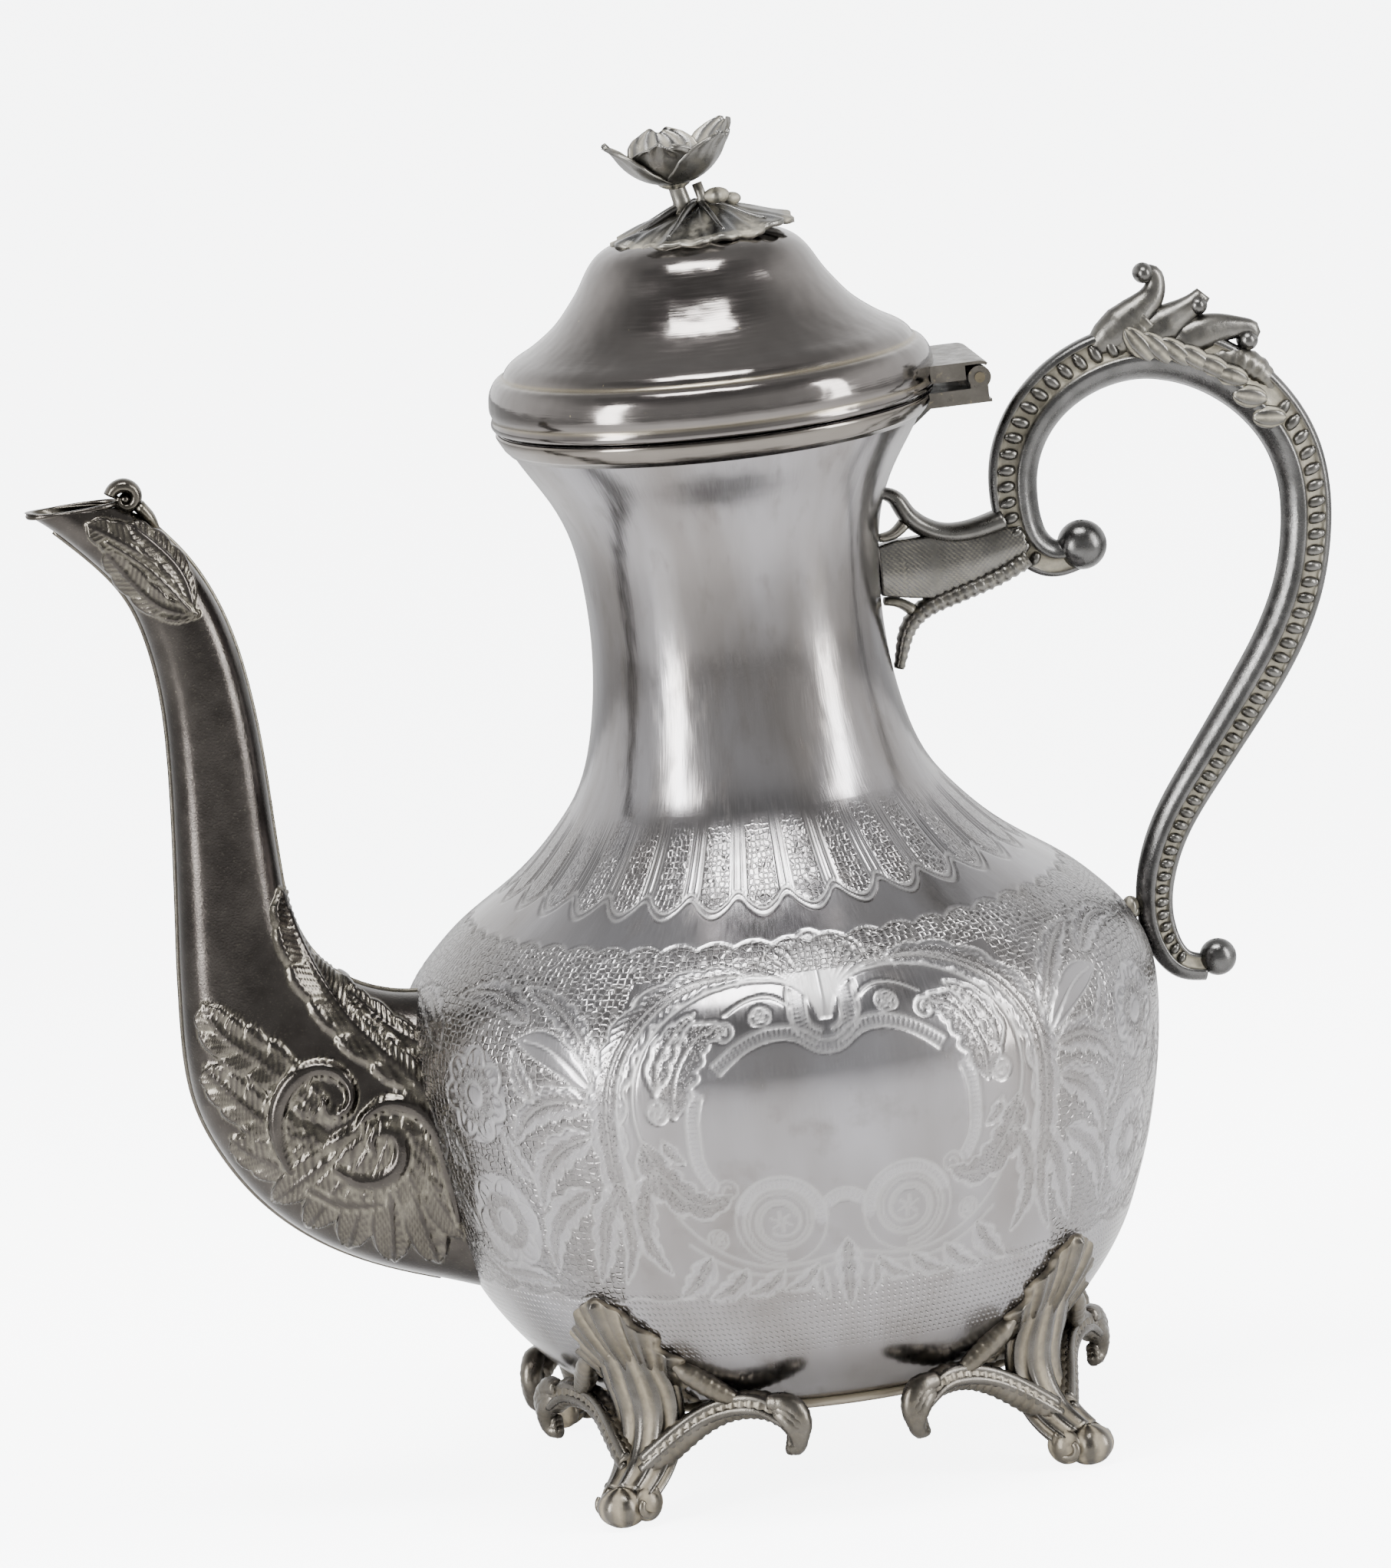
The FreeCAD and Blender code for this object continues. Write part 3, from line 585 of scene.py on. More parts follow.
def place(pairs):
    """Engraver's places, as (degrees round from the middle of the side, height), on the flat sheet."""
    pairs = np.asarray(pairs, float)
    return np.stack([pairs[:, 0] * MM_PER_DEGREE, np.interp(pairs[:, 1], LINE[:, 1], RUN)], axis=1)


def ring(centre, radius, turns=1.0, start=0.0, shrink=1.0):
    """A circle on the sheet, or a spiral when it shrinks, about a centre given as (degrees, height)."""
    c = place([centre])[0]
    a = np.linspace(start, start + turns * 2 * PI, int(26 * turns) + 2)
    return circle(c, radius * np.linspace(1, shrink, len(a)), a)


def flower(sheet, centre, radius, petals):
    """An open flower: two scalloped outlines, an eye and short rays, stippled between."""
    c = place([centre])[0]
    a = np.linspace(0, 2 * PI, 120)
    for scale, wave in ((1.0, 0.30), (0.62, 0.26)):
        r = radius * scale * (1 - wave + wave * np.abs(np.sin(petals * a / 2 + scale * 2)))
        sheet.line(circle(c, r, a), smooth=False)
    sheet.line(ring(centre, radius * 0.26), smooth=False)
    for k in range(petals * 6):
        t = 2 * PI * k / (petals * 6)
        inner, outer = radius * (0.30 if k % 2 else 0.66), radius * (0.46 if k % 2 else 0.80)
        sheet.line(np.array([[c[0] + q * math.cos(t), c[1] + q * math.sin(t)] for q in (inner, outer)]),
                   width=0.26, smooth=False)
    found = sheet.near(np.array([c, c + (0.01, 0)]), radius)
    if found:
        sheet.raise_to("leaf", found[0], (found[1] < radius) * 1.0)
        sheet.raise_to("stip", found[0], ((found[1] < radius * 0.62) & (found[1] > radius * 0.3)) * 1.0)


# The engraved design, as places (degrees, height). Every stroke keeps the deeper of itself and what is there.
# Leaves: centre line, width, lobes, stippled share, pitch of veins
LEAVES = [
    ([(24.2, 81.5), (23.6, 88), (21.6, 93.4), (18.6, 96.6), (15.6, 96.8)], 4.3, 5, 0.8, 1.1),
    ([(26.6, 86.5), (26, 91), (24, 96), (20.6, 99.6)], 2.6, 4, 0.6, 1.1),
    ([(29.4, 76.5), (28, 70.5), (24.4, 65.4), (20.6, 63.6), (17.2, 65.4)], 4.1, 5, 0.85, 1.1),
    ([(26.4, 76.8), (25.4, 74.2), (23.6, 72.6)], 1.7, 2, 0.5, 1.1),
    ([(12, 105.4), (20, 105), (27, 101.6), (32.2, 94.4), (34.6, 85), (35, 75), (34.4, 65), (34.6, 56),
      (37.5, 48.5)], 4.4, 11, 0.5, 1.3),
    ([(28.6, 71), (31.4, 63.5), (31.6, 56.5), (29, 50.2)], 3, 5, 0.5, 1.1),
    ([(33.5, 69), (38, 61.5), (40.2, 54), (42.5, 48.6)], 3.4, 5, 0.45, 1.1),
    ([(0, 54.5), (0, 50.5), (0, 46), (0, 41)], 2.9, 4, 0.5, 1.1),
    ([(37, 87), (41, 91.5), (46.5, 94.8), (51.5, 95.5)], 3.8, 1, 0, 0),
    ([(35.8, 91), (40, 97), (46, 101.6), (53, 104)], 3, 6, 0.5, 1.1),
    ([(37.5, 84), (43, 84.5), (48.8, 81.5), (52.4, 76)], 3.6, 5, 0.5, 1.1),
    ([(37.8, 78), (43, 75.5), (47.6, 70), (49.6, 63.2)], 3.8, 5, 0.45, 1.1),
    ([(39.5, 67), (45, 63), (49.2, 57), (50.8, 50)], 3.6, 5, 0.45, 1.1),
    ([(50, 98.5), (56, 101.5), (63, 102.6), (70, 101.2)], 3.2, 6, 0.5, 1.1),
    ([(70, 92), (75, 97), (81, 99.5), (88, 99)], 3.2, 5, 0.5, 1.1),
    ([(52, 47), (58, 48.6), (65, 48.6), (71, 52)], 2.4, 5, 0.4, 1.1),
    ([(5, 50), (7, 47), (10.4, 45.6)], 2, 3, 0.4, 1.1),
    ([(10.6, 49.6), (13.2, 46.6), (16.8, 45.2)], 2.2, 3, 0.4, 1.1),
    ([(16.4, 50.2), (19, 46.8), (23.2, 44.6)], 2.5, 3, 0.4, 1.1),
    ([(21.8, 53.2), (24.6, 48.6), (28.2, 45)], 2.8, 3, 0.4, 1.1),
    ([(4.4, 49), (4.6, 46), (3.6, 43.2)], 1.7, 3, 0.4, 1.1),
]
# Small buds on the sprays, each a place for the middle
BUDS = [(53.0, 72.5), (68.5, 73.0), (50.0, 88.5), (71.0, 60.0), (83.0, 84.0), (84.0, 58.0)]
# Open flowers towards the spout or the handle: centre, radius, petals
FLOWERS = [((60.5, 84.5), 9.4, 7), ((59.5, 59.5), 9.8, 6), ((77.5, 72.5), 8.0, 6)]
# Ribbed ribbons: the cartouche's frame and the palmette's cup, with half width and pitch of ribs
RIBBONS = [
    ([(-1.0, 92.2), (1.6, 92.6), (4, 94.6), (7, 95.6), (10.5, 95.0), (14, 93.0), (17.6, 89.4)], 1.2, 1.0),
    ([(20.6, 85.4), (21.5, 81), (21.7, 76), (21.2, 71), (19.6, 67.5)], 1.2, 1.0),
    ([(-0.6, 63.8), (1.0, 63.6), (2.6, 62.4)], 1.2, 1.0),
    ([(3.7, 102.4), (3.9, 99.0), (3.1, 95.4), (1.2, 93.9)], 1.5, 0.9),
]
# Plain lines with their width
STROKES = [
    # the palmette
    ([(-3.6, 107.6), (-2.8, 109.9), (0, 111.2), (2.8, 109.9), (3.6, 107.6)], 0.28),
    ([(3.2, 108.2), (5.5, 109.7), (8.2, 108.6), (9.3, 106.2)], 0.28),
    ([(7.6, 107.0), (10.0, 107.4), (12.6, 105.8), (13.4, 103.8)], 0.28),
    ([(5.4, 102.8), (5.6, 98.6), (4.6, 94.9)], 0.28),
    ([(5.4, 99.8), (8, 101.6), (12, 101.4), (15.5, 99.3)], 0.28),
    # the long C scrolls either side
    ([(5.6, 104.0), (11, 104.4), (17, 103.6), (23, 100.8), (27.6, 95.6), (30.2, 87), (30.0, 78), (27.6, 70.6),
      (24.0, 64.2)], 0.42),
    ([(9, 105.2), (16, 105.2), (23, 103.2), (28.6, 98.0), (32.2, 89.6), (33.2, 80), (32.6, 70), (31.6, 62),
      (30.4, 56)], 0.42),
    # the fringe under the spirals
    ([(-0.5, 52.4), (3.0, 51.6), (7.2, 50.6), (12.6, 50.6), (17.6, 52.6), (22.6, 56.8), (26.0, 61.8)], 0.4),
    ([(0.5, 50.6), (4.0, 49.6), (8.8, 48.8), (14.6, 49.2), (19.8, 51.6), (24.8, 56.0)], 0.4),
]
# Rings and spirals: centre, radius, turns, start, shrink, width. The first three are the paired spirals.
SPIRAL = (10, 59.5)
RINGS = [
    (SPIRAL, 9.0, 1.0, 0.0, 1.0, 0.28), (SPIRAL, 8.0, 2.1, -0.5 * PI, 0.36, 0.40),
    (SPIRAL, 6.9, 1.7, -0.5 * PI, 0.45, 0.26),
    ((15.9, 96.2), 2.3, 1.5, 0.3, 0.3, 0.28), ((17.4, 66.4), 2.6, 1.5, -1.0, 0.3, 0.28),
]
STUDS = [(10, 98.6), (26.6, 82.4), (20.2, 56.8)]


def scallop_top(deg):
    """The honeycomb's upper edge, under the shoulder."""
    return 109.6 + 0.9 * np.abs(np.sin(deg * PI / 7.0))


def scallop_low(deg):
    return 45.5 - 1.2 * np.abs(np.sin(deg * PI / 9.0))


def engrave():
    """Half of one side's design, drawn once and mirrored both ways round the vessel."""
    low, top = (float(np.interp(height, LINE[:, 1], RUN)) for height in (30.0, 112.5))
    sheet = Relief((-10.0, low), (90 * MM_PER_DEGREE + 3, top), CELL)
    # open ground that the honeycomb fills: the border under the shoulder and the sides
    x, y = np.meshgrid(sheet.low[0] + sheet.step * np.arange(sheet.size[0]),
                       sheet.low[1] + sheet.step * np.arange(sheet.size[1]), indexing="ij")
    z = np.interp(y, RUN, LINE[:, 1])
    deg = x / MM_PER_DEGREE
    frame_edge = 35.5 - 3.5 * np.clip((z - 84) / 20, 0, 1) + 3.0 * np.clip((58 - z) / 12, 0, 1)
    ground = (z < scallop_top(deg)) & (z > scallop_low(deg)) & ((z > 105.2) | (deg > frame_edge))
    for points, half, pitch in RIBBONS:
        sheet.band(place(points), half, pitch)
    sheet.band(ring(SPIRAL, 8.0, 0.44, 0.12 * PI), 1.2)
    for points, width in STROKES:
        sheet.line(place(points), width)
    for *spiral, width in RINGS:
        sheet.line(ring(*spiral), width, smooth=False)
    # six short rays in the spiral's middle
    middle = place([SPIRAL])[0]
    for t in np.arange(6) * PI / 3:
        ends = [(q * math.cos(t + lean), q * math.sin(t + lean)) for q, lean in ((0.5, 0), (2.1, 0.4))]
        sheet.line(middle + np.array(ends), 0.3, smooth=False)
    # the palmette's rays, long and short in turn
    for k in range(15):
        share = k / 14
        tip = (0.3 + 12.2 * share, 110.4 - 5.6 * share ** 1.5 + 0.5 * (k % 2))
        sheet.line(place([(0.15 + 0.7 * share, 97.4), (0.3 + 2.4 * share, 102.2 - 0.6 * share), tip]),
                   width=0.26)
    # small circled flowers on the plain field
    for centre in STUDS:
        sheet.line(ring(centre, 2.0), smooth=False)
        for k in range(4):
            petal = circle(place([centre])[0], 0.85, np.array([k * PI / 2 + 0.7]))[0]
            sheet.line(circle(petal, 0.5, np.linspace(0, 2 * PI, 9)), 0.24, smooth=False)
    for centre, radius, petals in FLOWERS:
        flower(sheet, centre, radius, petals)
    for deg_c, z_c in BUDS:
        sheet.leaf(place([(deg_c - 2.5, z_c - 4), (deg_c, z_c), (deg_c + 1.5, z_c + 5)]), 2.3, 3, 0.4)
    for points, *shape in LEAVES:
        sheet.leaf(place(points), *shape)
    sheet.layers["honey"] = (ground & (sheet.layer("leaf") < 0.5)).astype(np.float32)
    # lines along the honeycomb's two scalloped edges
    across = deg[:, 0]
    for edge, width, keep in ((scallop_top, 0.3, across > -99), (scallop_low, 0.26, across > 26)):
        line = np.stack([x[:, 0], np.interp(edge(across), LINE[:, 1], RUN)], axis=1)
        sheet.line(line[keep][::3], width, smooth=False)
    return sheet


def vessel():
    """The spun wall: fine rows where it is engraved, coarse ones elsewhere, and a plain inside."""
    cols, coarse, fine, inside_rows, depth = 1080, 2.2, 0.42, 70, 0.24
    start, stop = np.interp((30.0, 131.0), LINE[:, 1], RUN)
    t = np.concatenate([np.arange(0, start, coarse), np.arange(start, stop, fine),
                        np.arange(stop, RUN[-1], coarse), [RUN[-1]]])
    radius, z = np.interp(t, RUN, LINE[:, 0]), np.interp(t, RUN, LINE[:, 1])
    turn = np.linspace(0, 2 * PI, cols, endpoint=False)
    deg = np.degrees(turn)
    folded = 90 - np.abs((deg % 180) - 90)          # 0 at the spout and handle, 90 in the middle of each side
    from_middle = (90 - folded)[None, :] * MM_PER_DEGREE
    sheet = engrave()
    x, y = np.broadcast_arrays(from_middle, t[:, None])
    inside = ((z > 30.5) & (z < 112.3))[:, None]
    layers = {k: np.clip(sheet.sample(k, x, y), 0, 1) * inside for k in ("cut", "stip", "honey", "leaf")}
    # panels on the lower neck: pebbled tongues between groups of fine upright lines, ending in scallops
    panels, split = 32, 0.62
    phase = (deg / 360 * panels) % 1.0
    lip = 116.9 - 1.5 * np.sin(PI * np.clip(phase / split, 0, 1)) \
        + 1.3 * np.sin(PI * np.clip((phase - split) / 0.38, 0, 1))
    above = z[:, None] - lip[None, :]
    fade = np.clip((130.5 - z) / 7, 0, 1)[:, None]
    tongue = (phase < split)[None, :] * (above > 0.2) * fade
    lines = (phase >= split)[None, :] * (above > 0.4) * fade \
        * (np.cos(2 * PI * (phase - split) / 0.076) > 0.3)[None, :]
    border = np.clip(1.4 - np.abs(above) / 0.30, 0, 1) + 0.8 * np.clip(1.4 - np.abs(above + 1.0) / 0.28, 0, 1)
    layers["cut"] = np.clip(layers["cut"] + border * (z[:, None] < 121) + 0.8 * lines, 0, 1)
    layers["honey"] = np.clip(layers["honey"] + 0.65 * tongue, 0, 1)
    layers["arcs"] = np.clip((z - 31) / 3, 0, 1)[:, None] * np.clip((47 - z) / 1.5, 0, 1)[:, None] \
        * (sheet.sample("leaf", x, y) < 0.5) * (1 - layers["honey"])
    push = -depth * layers["cut"]
    slope = unit(np.gradient(LINE, axis=0))
    normal = np.stack([np.interp(t, RUN, slope[:, 1]), -np.interp(t, RUN, slope[:, 0])], axis=1)
    r3 = radius[:, None] + push * normal[:, :1]
    z3 = z[:, None] + push * normal[:, 1:]
    outer = polar(r3, turn, z3)
    # the inside of the wall, coarser up the height
    ti = np.linspace(RUN[-1], 0, inside_rows)
    ri = np.interp(ti, RUN, LINE[:, 0]) - WALL * np.interp(ti, RUN, slope[:, 1])
    zi = np.clip(np.interp(ti, RUN, LINE[:, 1]) + WALL * np.interp(ti, RUN, slope[:, 0]), 19.0, 202.8)
    inner = polar(ri[:, None], turn, zi[:, None])
    rows = len(t) + inside_rows
    flat = np.stack(np.broadcast_arrays(turn[None, :] * BELLY, np.concatenate([t, ti])[:, None], 0.0),
                    axis=-1)
    solid = Solid()
    pad = {k: np.concatenate([v, np.zeros((inside_rows, cols))]).reshape(-1) for k, v in layers.items()}
    solid.add(np.concatenate([outer, inner]), grid(rows, cols, wrap_rows=True, wrap_cols=True),
              sheet=flat, **pad)
    piece("vessel_engraved", solid, "pot", PLATE, ["vessel_shell"])


vessel()


# Base, mouth and lid

def base():
    foot_ring = [(34, 20.4), (36.5, 18.6), (39.6, 18.0), (45.0, 18.0), (45.4, 18.5), (45.3, 19.8),
                 (44.6, 19.9), (43.8, 19.1), (40.6, 19.1), (37.0, 19.9), (34.4, 21.4), (0.05, 21.4),
                 (0.05, 20.4)]
    solid = turn_solid(foot_ring, 160, dirt=[0.4] * 2 + [0.2] * 3 + [0.6] * 2 + [0.3] * 6)
    solid.values["sheet"] = [solid.verts[0]]
    piece("base_disc", solid, "pot", BASE_METAL, ["base_plate"])


def mouth():
    lip = [(39.4, 198.5), (40.4, 199.6), (41.2, 201.0), (41.7, 202.0), (41.6, 202.6), (41.25, 202.78),
           (41.15, 202.5), (40.9, 201.8), (40.2, 200.4), (39.2, 198.9)]
    piece("mouth_lip", turn_solid(lip, 200, dirt=0.1), "pot", LID_METAL, ["mouth_band"])


LID_EDGE = [(41.2, 203.25), (41.8, 203.35), (42.25, 203.8), (42.35, 204.6), (42.1, 205.3), (42.05, 205.8)]
LID_TORUS = [(42.05, 205.8), (42.4, 206.8), (42.42, 208.2), (42.2, 209.9), (41.5, 211.5), (40.5, 212.6),
             (39.6, 212.95)]
LID_DOME = [(39.6, 212.95), (39.25, 213.3), (38.9, 213.9), (38.1, 214.9), (34.9, 216.9), (31.4, 219.2),
            (28.3, 221.8), (25.6, 225.0), (23.3, 228.2), (21.3, 231.6), (19.0, 234.2), (15.4, 236.0),
            (10.0, 237.0), (5.0, 237.3), (1.9, 237.35)]


def lid():
    outer = np.concatenate([spline(LID_EDGE, step=0.25)[:-1], spline(LID_TORUS, step=0.4)[:-1],
                            spline(LID_DOME, step=0.5)])
    inner = spline([(1.9, 236.5), (10, 236.1), (15.0, 235.1), (18.2, 233.4), (20.4, 230.9), (22.5, 227.5),
                    (25.0, 224.1), (28.0, 220.9), (31.2, 218.2), (36.6, 214.8), (38.4, 213.0), (40.0, 211.6),
                    (41.2, 209.4), (41.5, 207.4), (41.4, 204.4), (41.0, 203.5)], step=1.0)
    dirt = np.concatenate([np.zeros(len(outer)), np.full(len(inner), 0.25)])
    heights = np.concatenate([outer, inner])[:, 1]
    grooves = 0.55 * np.exp(-((heights - 213.2) / 0.35) ** 2) + 0.35 * np.exp(-((heights - 205.5) / 0.4) ** 2)
    dirt = np.clip(dirt + grooves, 0, 1)
    solid = turn_solid(np.concatenate([outer, inner]), 260, dirt=dirt)
    piece("lid_shell", solid, "lid", LID_METAL, ["lid_dome"])
    top, wall, drop = 203.2, 0.8, 5.4
    collar = [(36.2, top - drop + 0.2), (36.2, top - 0.5), (36.6, top), (40.9, top), (41.4, top + 0.6),
              (41.4, top + wall), (35.4, top + wall), (35.4, top - drop + 0.2), (35.8, top - drop)]
    piece("lid_locating_ring", turn_solid(collar, 200, dirt=0.1), "lid", LID_METAL,
          ["lid_collar"])


base()
mouth()
lid()


# The spout

SPOUT_OUT = [(-62.8, 40.4), (-70, 43.0), (-78, 45.8), (-91.2, 52.4), (-103, 63), (-109.3, 72.9),
             (-112.8, 82.3), (-113.8, 91.5), (-113.6, 100.4), (-113.1, 109.3), (-112.4, 118.2), (-111.2, 134),
             (-110.4, 149), (-110.6, 162.5), (-111.9, 171.5), (-115, 180.8), (-122.4, 190.4), (-127.2, 195.2),
             (-132.3, 199.3)]
SPOUT_IN = [(-60.0, 98.4), (-66, 98.6), (-72, 99.2), (-79, 101.5), (-84.9, 105.6), (-89.0, 111.6),
            (-91.2, 118.6), (-91.9, 126), (-92.3, 135), (-92.6, 143), (-93.1, 152), (-94.2, 162),
            (-95.9, 171), (-99, 180.2), (-103.6, 188.4), (-108.0, 193.8), (-114.0, 198.6)]
SPOUT_WIDE = [18.2, 17.9, 17.2, 15.6, 13.8, 12.0, 10.5, 9.4, 8.7, 8.2, 7.8, 7.5, 7.2, 7.0, 6.9, 6.7, 6.5, 6.2,
              5.2]


def spout_relief():
    """Leaves and scrolls on the spout's flank, in (x, z) places. A later one lies over an earlier one."""
    r = Relief((-134, 38), (-58, 204), CELL)
    # the spray below the mouth
    r.emboss([(-104.0, 180.5), (-108.5, 186.5), (-114.5, 192.0), (-121.0, 196.4)], 3.6, 0.75, 5, 1.2)
    r.emboss([(-103.4, 179.0), (-104.6, 184.5), (-108.6, 190.4), (-113.5, 195.4)], 2.7, 0.7, 4, 1.2)
    r.emboss([(-102.6, 177.2), (-108.4, 179.0), (-113.6, 184.4), (-118.2, 191.0)], 3.0, 0.7, 4, 1.2)
    r.roll([(-104, 178.0), (-110, 186.0), (-118, 193.0)], [0.5, 0.4, 0.3], 0.8)
    # the tall leaf up the back of the root
    r.emboss([(-67.5, 78), (-73.5, 86), (-80.5, 93.5), (-86.5, 102.5), (-90.6, 112.5), (-92.8, 122.0)],
             5.0, 1.1, 7, 1.35)
    r.emboss([(-66, 88), (-71.5, 91.5), (-77, 95.8), (-82.4, 101.2)], 2.6, 0.8, 4, 1.2)
    # leaf on the outer bend
    r.emboss([(-89.0, 79.5), (-94.0, 84.5), (-100.0, 91.0), (-106.5, 96.5), (-109.5, 102.5)],
             5.0, 1.1, 6, 1.35)
    r.emboss([(-90.0, 74.5), (-97.0, 77.0), (-104.0, 82.5), (-110.6, 90.5)], 4.4, 1.0, 6, 1.35)
    r.emboss([(-86.0, 70.0), (-93.0, 69.2), (-100.4, 71.2), (-107.0, 76.4)], 4.0, 1.0, 6, 1.35)
    # the fan of lobes that opens below the scrolls
    palm = np.array([-75.4, 77.0])
    for end, wide in (((-100.5, 63.6), 3.2), ((-94.6, 57.8), 3.4), ((-87.4, 53.0), 3.5), ((-79.2, 49.6), 3.5),
                      ((-71.0, 48.6), 3.3), ((-66.0, 53.5), 3.0), ((-64.6, 61.0), 2.8)):
        r.emboss([palm, palm + (np.array(end) - palm) * 0.5 + (-1.5, 1.0), end], wide * 1.22, 1.25, 2, 1.2)
    # C scrolls: ridges that end in volutes
    r.roll([(-97.0, 69.6), (-99.0, 77.5), (-96.6, 85.0), (-90.4, 88.6), (-85.0, 85.8), (-85.4, 80.6),
            (-89.0, 80.2), (-89.6, 83.0)], [0.8, 1.4, 1.8, 1.9, 1.6, 1.2, 0.9, 0.7], 1.5)
    r.roll([(-88.6, 69.6), (-84.4, 66.6), (-79.6, 67.0), (-76.4, 70.6), (-77.6, 75.2), (-81.4, 75.0),
            (-81.2, 71.8)],
           [0.9, 1.5, 1.9, 1.9, 1.6, 1.1, 0.7], 1.5)
    r.roll([(-83.4, 78.0), (-78.4, 80.8), (-72.4, 79.0), (-69.0, 73.0), (-67.8, 65.0), (-66.8, 57.0)],
           [0.8, 1.5, 1.8, 1.6, 1.2, 0.7], 1.35)
    r.roll([(-94.0, 66.0), (-88.0, 62.5), (-81.0, 62.0)], [0.6, 1.1, 0.6], 1.0)
    return r


def spout():
    """Two thin half shells with the relief raised on their outside, and the fin where they meet."""
    rows, cols, wall_mm, squareness = 520, 92, 1.2, 0.92
    out, back = spline(SPOUT_OUT, rows), spline(SPOUT_IN, rows)
    # the back edge's places run faster at the root, so the two edges are matched by listed shares
    share = np.linspace(0, 1, rows)
    pick = np.interp(share, [0, 0.11, 0.26, 0.44, 0.60, 0.78, 0.90, 1.0],
                     [0, 0.07, 0.17, 0.33, 0.52, 0.74, 0.88, 1.0])
    back = np.stack([np.interp(pick, share, back[:, i]) for i in range(2)], axis=1)
    wide = keyed(share, SPOUT_WIDE)
    relief = spout_relief()
    th = np.linspace(0, PI, cols)
    for side, name, node_name in ((-1, "spout_half_near", "spout_near_half"),
                                  (1, "spout_half_far", "spout_far_half")):
        def sheet_of(wall):
            centre, reach = (out + back) / 2, (out - back) / 2
            size = np.linalg.norm(reach, axis=1)[:, None]
            reach = reach * (1 - wall / size)
            c = np.sign(np.cos(th)) * np.abs(np.cos(th)) ** squareness
            x = centre[:, :1] + reach[:, :1] * c
            z = centre[:, 1:] + reach[:, 1:] * c
            y = side * (wide[:, None] - wall) * np.sin(th) ** squareness
            return np.stack([x, np.broadcast_to(y, x.shape), z], axis=-1)

        outer, inner = sheet_of(0.0), sheet_of(wall_mm)
        du, dv = np.gradient(outer, axis=0), np.gradient(outer, axis=1)
        n = np.cross(du, dv)
        n /= np.maximum(np.linalg.norm(n, axis=2), 1e-9)[..., None]
        n *= np.sign(side * n[:, cols // 2:cols // 2 + 1, 1:2])
        fade = np.clip(np.sin(th) * 5, 0, 1)[None, :] * np.ones((rows, 1))
        high = relief.sample("high", outer[..., 0], outer[..., 2]) * fade
        dirt = relief.sample("dirt", outer[..., 0], outer[..., 2]) * fade * 0.42
        seam = np.exp(-(np.sin(th) / 0.05) ** 2)[None, :]
        outer = outer + n * (high[..., None] * 1.15)
        outer[:, :, 1] = np.where(np.abs(outer[:, :, 1]) < 1e-6, 0, outer[:, :, 1])
        solid = Solid()
        solid.shell(outer, inner, np.clip(dirt + 0.25 * seam * (share > 0.9)[:, None], 0, 1))
        piece(name, solid, "pot", SPOUT_METAL, [node_name])
    # fin where the halves meet, and a rim round the mouth
    fin = Solid()
    fin.rod(upright(spline(SPOUT_OUT[1:-1], step=1.5)), [0.55], around=8, dirt=0.15)
    fin.rod(upright(spline(SPOUT_IN[1:-1], step=1.5)), [0.5], around=8, dirt=0.35)
    a = np.linspace(0, 2 * PI, 90)
    mouth_x, mouth_z = -123.1 - 8.6 * np.cos(a), 198.9 - 0.35 * np.cos(a)
    mouth_y = 4.75 * np.sign(np.sin(a)) * np.abs(np.sin(a)) ** squareness
    fin.rod(np.stack([mouth_x, mouth_y, mouth_z], axis=1)[:-1], [0.5], around=10, dirt=0.05, side=(0, 0, 1))
    piece("spout_seam", fin, "pot", SPOUT_METAL)


def spout_scroll():
    """The small curl behind the mouth."""
    a = np.linspace(-0.9 * PI, 1.15 * PI, 42)
    r = np.linspace(2.9, 1.0, 42)
    line = np.stack([-113.2 + r * np.cos(-a), np.zeros(42), 199.7 + r * np.sin(-a)], axis=1)
    root = spline([(-107.4, 192.8), (-109.0, 195.6), (-110.8, 198.2)], 8)
    solid = Solid()
    solid.rod(line, np.concatenate([[1.2], np.linspace(1.45, 0.9, 5)]), flat=1.7, dirt=0.15, around=14)
    solid.rod(upright(root), [0.4, 1.3, 1.3], flat=1.7, around=14, dirt=0.3)
    solid.blob((-113.2, 0, 199.7), (1.15, 1.9, 1.15), dirt=0.1)
    piece("spout_scroll", solid, "pot", SPOUT_METAL, ["spout_curl"])


spout()
spout_scroll()


# The handle

HANDLE = [(66.6, 166.6), (61.6, 166.3), (57.4, 169.9), (55.7, 176.5), (56.2, 185.0), (60.0, 193.2),
          (66.8, 199.5), (75.0, 203.0), (84.0, 203.7), (92.6, 201.3), (100.2, 196.6), (106.0, 190.4),
          (110.0, 182.8), (111.6, 174.0), (111.0, 165.0), (108.7, 155.6), (104.2, 146.0), (98.0, 136.8),
          (91.6, 128.4), (85.3, 120.3), (79.5, 112.0), (76.0, 104.0), (74.7, 96.0), (76.0, 89.0),
          (79.2, 84.6), (83.6, 83.4)]
HANDLE_HALF = [3.2, 4.4, 4.8, 5.0, 5.3, 5.6, 5.5, 5.2, 4.95, 4.9, 4.9, 4.8, 4.4, 4.1, 3.8, 3.4, 2.6]
HANDLE_SECTION = [(1.0, 0.0), (0.99, 0.22), (0.93, 0.40), (0.82, 0.50), (0.74, 0.52), (0.69, 0.50),
                  (0.64, 0.40), (0.50, 0.42), (0.20, 0.52), (0.02, 0.62), (-0.03, 0.78), (-0.08, 0.90),
                  (-0.16, 0.97), (-0.30, 0.98), (-0.50, 0.86), (-0.72, 0.62), (-0.90, 0.34), (-1.0, 0.0)]
SECTION_DIRT = [0, 0, 0, 0, 0.1, 0.5, 0.9, 0.9, 0.9, 0.9, 0.6, 0.1, 0, 0, 0, 0, 0, 0]


